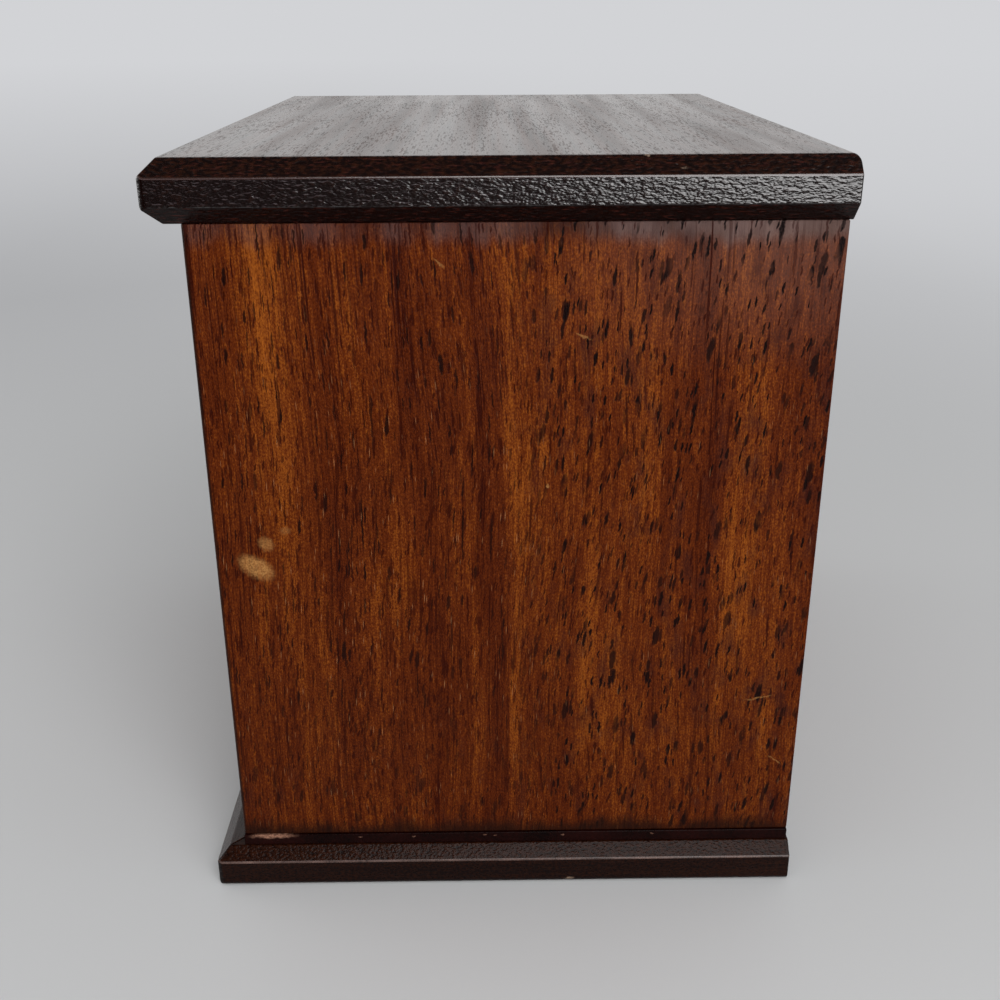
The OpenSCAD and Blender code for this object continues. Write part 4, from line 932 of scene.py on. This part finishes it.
class JEWELRYBOX_OT_ring_rolls(bpy.types.Operator):
    """Foam ring rolls in velvet: one is blown up as cloth and copied along the tray"""

    bl_idname = "jewelry_box.ring_rolls"
    bl_label = "Ring rolls"

    def execute(self, context):
        velvet = flocked_velvet(context.scene.jewelry_box_finish)
        sizes = context.scene.jewelry_box_sizes
        low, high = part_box("ring_rolls")
        # Cloth behaves better at ten times the size.
        grown = 10.0
        span = (high[0] - low[0], sizes.roll_width, high[2] - low[2])
        # Starts smaller than its place, because it swells.
        start = [(side - spare * MM) * grown for side, spare in zip(span, (1.6, 1.3, 0.9))]
        bpy.ops.object.select_all(action="DESELECT")
        bpy.ops.mesh.primitive_cube_add(size=1.0)
        roll = context.object
        roll.name = "ring_roll_1"
        bpy.ops.object.mode_set(mode="EDIT")
        bpy.ops.mesh.select_all(action="SELECT")
        bpy.ops.transform.resize(value=start, center_override=(0, 0, 0))
        bpy.ops.transform.translate(value=(0, 0, start[2] / 2))
        bpy.ops.mesh.select_all(action="DESELECT")
        form = bmesh.from_edit_mesh(roll.data)
        for edge in form.edges:
            ends = [vert.co for vert in edge.verts]
            crown = min(end.z for end in ends) > start[2] / 2
            edge.select_set(crown and abs(ends[0].x - ends[1].x) > start[0] / 2)
        bmesh.update_edit_mesh(roll.data)
        bpy.ops.mesh.bevel(offset=start[1] * 0.46, segments=10, profile=0.5, affect="EDGES")
        bpy.ops.object.mode_set(mode="OBJECT")
        bpy.ops.object.modifier_add(type="REMESH")
        roll.modifiers[-1].mode = "VOXEL"
        roll.modifiers[-1].voxel_size = sizes.roll_voxel * grown
        bpy.ops.object.modifier_apply(modifier=roll.modifiers[-1].name)
        before = [vert.co.copy() for vert in roll.data.vertices]
        bpy.ops.object.modifier_add(type="CLOTH")
        cloth = roll.modifiers[-1]
        cloth.settings.use_pressure = True
        cloth.settings.uniform_pressure_force = 4.0
        cloth.settings.effector_weights.gravity = 0.0
        for step in range(1, 21):
            context.scene.frame_set(step)
        bpy.ops.object.modifier_apply(modifier=cloth.name)
        context.scene.frame_set(1)
        # No point moves more than a millimetre, and the roll rests flat on the tray.
        for vert, old in zip(roll.data.vertices, before):
            move = vert.co - old
            if move.length > MM * grown:
                move.length = MM * grown
            vert.co = (old + move) / grown
            vert.co.z = max(vert.co.z, 0.0)
        bpy.ops.object.modifier_add(type="SUBSURF")
        roll.modifiers[-1].levels = roll.modifiers[-1].render_levels = 1
        bpy.ops.object.modifier_apply(modifier=roll.modifiers[-1].name)
        bpy.ops.object.shade_smooth()
        roll.data.materials.clear()
        roll.data.materials.append(velvet)
        count = round((high[1] - low[1]) / sizes.roll_width)
        pitch = (high[1] - low[1] - sizes.roll_width) / (count - 1)
        shape = roll.data.copy()
        for index in range(count):
            if index:
                roll = bpy.data.objects.new(f"ring_roll_{index + 1}", shape.copy())
                context.scene.collection.objects.link(roll)
            middle = low[1] + sizes.roll_width / 2 + index * pitch
            roll.data.transform(Matrix.Translation(((low[0] + high[0]) / 2, middle, low[2])))
            dress(roll, "ring_rolls", "case")
        bpy.data.meshes.remove(shape)
        return {"FINISHED"}


class JEWELRYBOX_OT_drawer_boxes(bpy.types.Operator):
    """Stained sides and backs of the drawers, and their plywood bottoms"""

    bl_idname = "jewelry_box.drawer_boxes"
    bl_label = "Drawer boxes"

    def execute(self, context):
        finish = context.scene.jewelry_box_finish
        width = context.scene.jewelry_box_sizes.board_arris
        ply = plain_finish("birch plywood", finish.plywood, 0.6, grit=0.8)
        sides = mahogany_veneer(finish, "stained drawer sides", "Y", shift=(17.0, 3.0, 61.0))
        backs = mahogany_veneer(finish, "stained drawer backs", "X", shift=(3.0, 23.0, 41.0))
        for drawer in ("upper_drawer", "lower_drawer"):
            for part, material in (("_sides", sides), ("_back", backs)):
                solid = drawer + part
                dress(worn_copy(solid, [material], width), solid, drawer)
            paint([drawer + "_bottom"], ply)
        return {"FINISHED"}


class JEWELRYBOX_OT_mirror(bpy.types.Operator):
    """Mirror glass in the lid, with its frame and card"""

    bl_idname = "jewelry_box.mirror"
    bl_label = "Mirror"

    def execute(self, context):
        finish = context.scene.jewelry_box_finish
        width = context.scene.jewelry_box_sizes.board_arris
        dark = espresso_lacquer(finish, "espresso lacquer frame", "X", "edges")
        solid = "mirror_frame"
        dress(worn_copy(solid, [dark], width), solid, "lid")
        silver = plain_finish(
            "mirror glass", linear("#e4e8e8"), 0.015, 1.0, spread=0.01, relief=0.0
        )
        paint(["mirror_glass"], silver)
        paint(["mirror_card"], plain_finish("grey card", linear("#8a8378"), 0.85))
        return {"FINISHED"}


class JEWELRYBOX_OT_knobs(bpy.types.Operator):
    """Turned brass knobs: rings drawn out along the profile, one knob copied for the other"""

    bl_idname = "jewelry_box.knobs"
    bl_label = "Knobs"

    def execute(self, context):
        low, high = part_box("lower_drawer_knob")
        axis = [(low[0] + high[0]) / 2, high[1], (low[2] + high[2]) / 2]
        middle, half, radius = KNOB_HEAD
        rings = list(KNOB_FOOT)
        for turn in range(-60, 90, 6):
            lean = math.radians(turn)
            rings.append((middle + half * math.sin(lean), radius * math.cos(lean)))
        bpy.ops.object.select_all(action="DESELECT")
        bpy.ops.mesh.primitive_circle_add(
            vertices=64, radius=rings[0][1] * MM, location=axis, rotation=(math.pi / 2, 0, 0)
        )
        knob = context.object
        knob.name = "dressed_lower_drawer_knob"
        bpy.ops.object.transform_apply(location=True, rotation=True, scale=True)
        bpy.ops.object.mode_set(mode="EDIT")
        bpy.ops.mesh.select_all(action="SELECT")
        bpy.ops.mesh.edge_face_add()
        for (near, old), (far, new) in zip(rings, rings[1:]):
            bpy.ops.mesh.extrude_region_move(
                TRANSFORM_OT_translate={"value": (0, (near - far) * MM, 0)}
            )
            bpy.ops.transform.resize(value=(new / old, 1, new / old), center_override=axis)
        bpy.ops.mesh.merge(type="CENTER")
        bpy.ops.mesh.select_all(action="DESELECT")
        bpy.ops.mesh.select_mode(type="EDGE")
        bpy.ops.mesh.select_non_manifold()
        bpy.ops.mesh.edge_face_add()
        bpy.ops.mesh.select_all(action="SELECT")
        bpy.ops.mesh.normals_make_consistent(inside=False)
        bpy.ops.object.mode_set(mode="OBJECT")
        bpy.ops.object.shade_smooth_by_angle(angle=math.radians(50.0))
        knob.data.materials.append(polished_brass(context.scene.jewelry_box_finish))
        other = bpy.data.objects.new("dressed_upper_drawer_knob", knob.data.copy())
        context.scene.collection.objects.link(other)
        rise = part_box("upper_drawer_knob")[0][2] - low[2]
        other.data.transform(Matrix.Translation((0, 0, rise)))
        for piece, drawer in ((knob, "lower_drawer"), (other, "upper_drawer")):
            dress(piece, drawer + "_knob", drawer)
        return {"FINISHED"}


class JEWELRYBOX_OT_metalwork(bpy.types.Operator):
    """Hinges, key and the musical movement"""

    bl_idname = "jewelry_box.metalwork"
    bl_label = "Metalwork"

    def execute(self, context):
        finish = context.scene.jewelry_box_finish
        width = context.scene.jewelry_box_sizes.metal_arris
        brass = polished_brass(finish)
        finishes = {
            "brass": brass,
            "steel": plain_finish("bright steel", finish.steel, 0.28, 1.0),
            "zinc": plain_finish("die-cast zinc", finish.zinc, 0.45, 1.0, relief=0.06),
        }
        for solid, body in (
            ("hinge_case_leaves", "case"),
            ("hinge_lid_leaves", "lid"),
            ("winding_key", "key"),
        ):
            dress(worn_copy(solid, [brass], width), solid, body)
        # Every other metal solid keeps its shape and is painted by its slot.
        for solid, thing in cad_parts.items():
            if thing.hide_render:
                continue
            named = [m.name for m in thing.data.materials if m]
            for key, material in finishes.items():
                if any(key in name for name in named):
                    paint([solid], material)
        return {"FINISHED"}


class JEWELRYBOX_PT_dressing(bpy.types.Panel):
    """Lists the steps that dress the jewelry box"""

    bl_idname = "JEWELRYBOX_PT_dressing"
    bl_label = "Jewelry Box"
    bl_space_type = "VIEW_3D"
    bl_region_type = "UI"
    bl_category = "Jewelry Box"

    def draw(self, context):
        for operator in OPERATORS:
            self.layout.operator(operator.bl_idname)


OPERATORS = (
    JEWELRYBOX_OT_stage,
    JEWELRYBOX_OT_case,
    JEWELRYBOX_OT_mouldings,
    JEWELRYBOX_OT_linings,
    JEWELRYBOX_OT_ring_rolls,
    JEWELRYBOX_OT_drawer_boxes,
    JEWELRYBOX_OT_mirror,
    JEWELRYBOX_OT_knobs,
    JEWELRYBOX_OT_metalwork,
)
GROUPS = (JewelryBoxFinish, JewelryBoxSizes, JewelryBoxStage)
CLASSES = GROUPS + OPERATORS + (JEWELRYBOX_PT_dressing,)


def register():
    for kind in CLASSES:
        bpy.utils.register_class(kind)
    bpy.types.Scene.jewelry_box_finish = bpy.props.PointerProperty(type=JewelryBoxFinish)
    bpy.types.Scene.jewelry_box_sizes = bpy.props.PointerProperty(type=JewelryBoxSizes)
    bpy.types.Scene.jewelry_box_stage = bpy.props.PointerProperty(type=JewelryBoxStage)


def unregister():
    del bpy.types.Scene.jewelry_box_stage
    del bpy.types.Scene.jewelry_box_sizes
    del bpy.types.Scene.jewelry_box_finish
    for kind in reversed(CLASSES):
        bpy.utils.unregister_class(kind)


def main():
    register()
    bpy.ops.jewelry_box.stage()
    bpy.ops.jewelry_box.case()
    bpy.ops.jewelry_box.mouldings()
    bpy.ops.jewelry_box.linings()
    bpy.ops.jewelry_box.ring_rolls()
    bpy.ops.jewelry_box.drawer_boxes()
    bpy.ops.jewelry_box.mirror()
    bpy.ops.jewelry_box.knobs()
    bpy.ops.jewelry_box.metalwork()


if __name__ == "__main__":
    main()
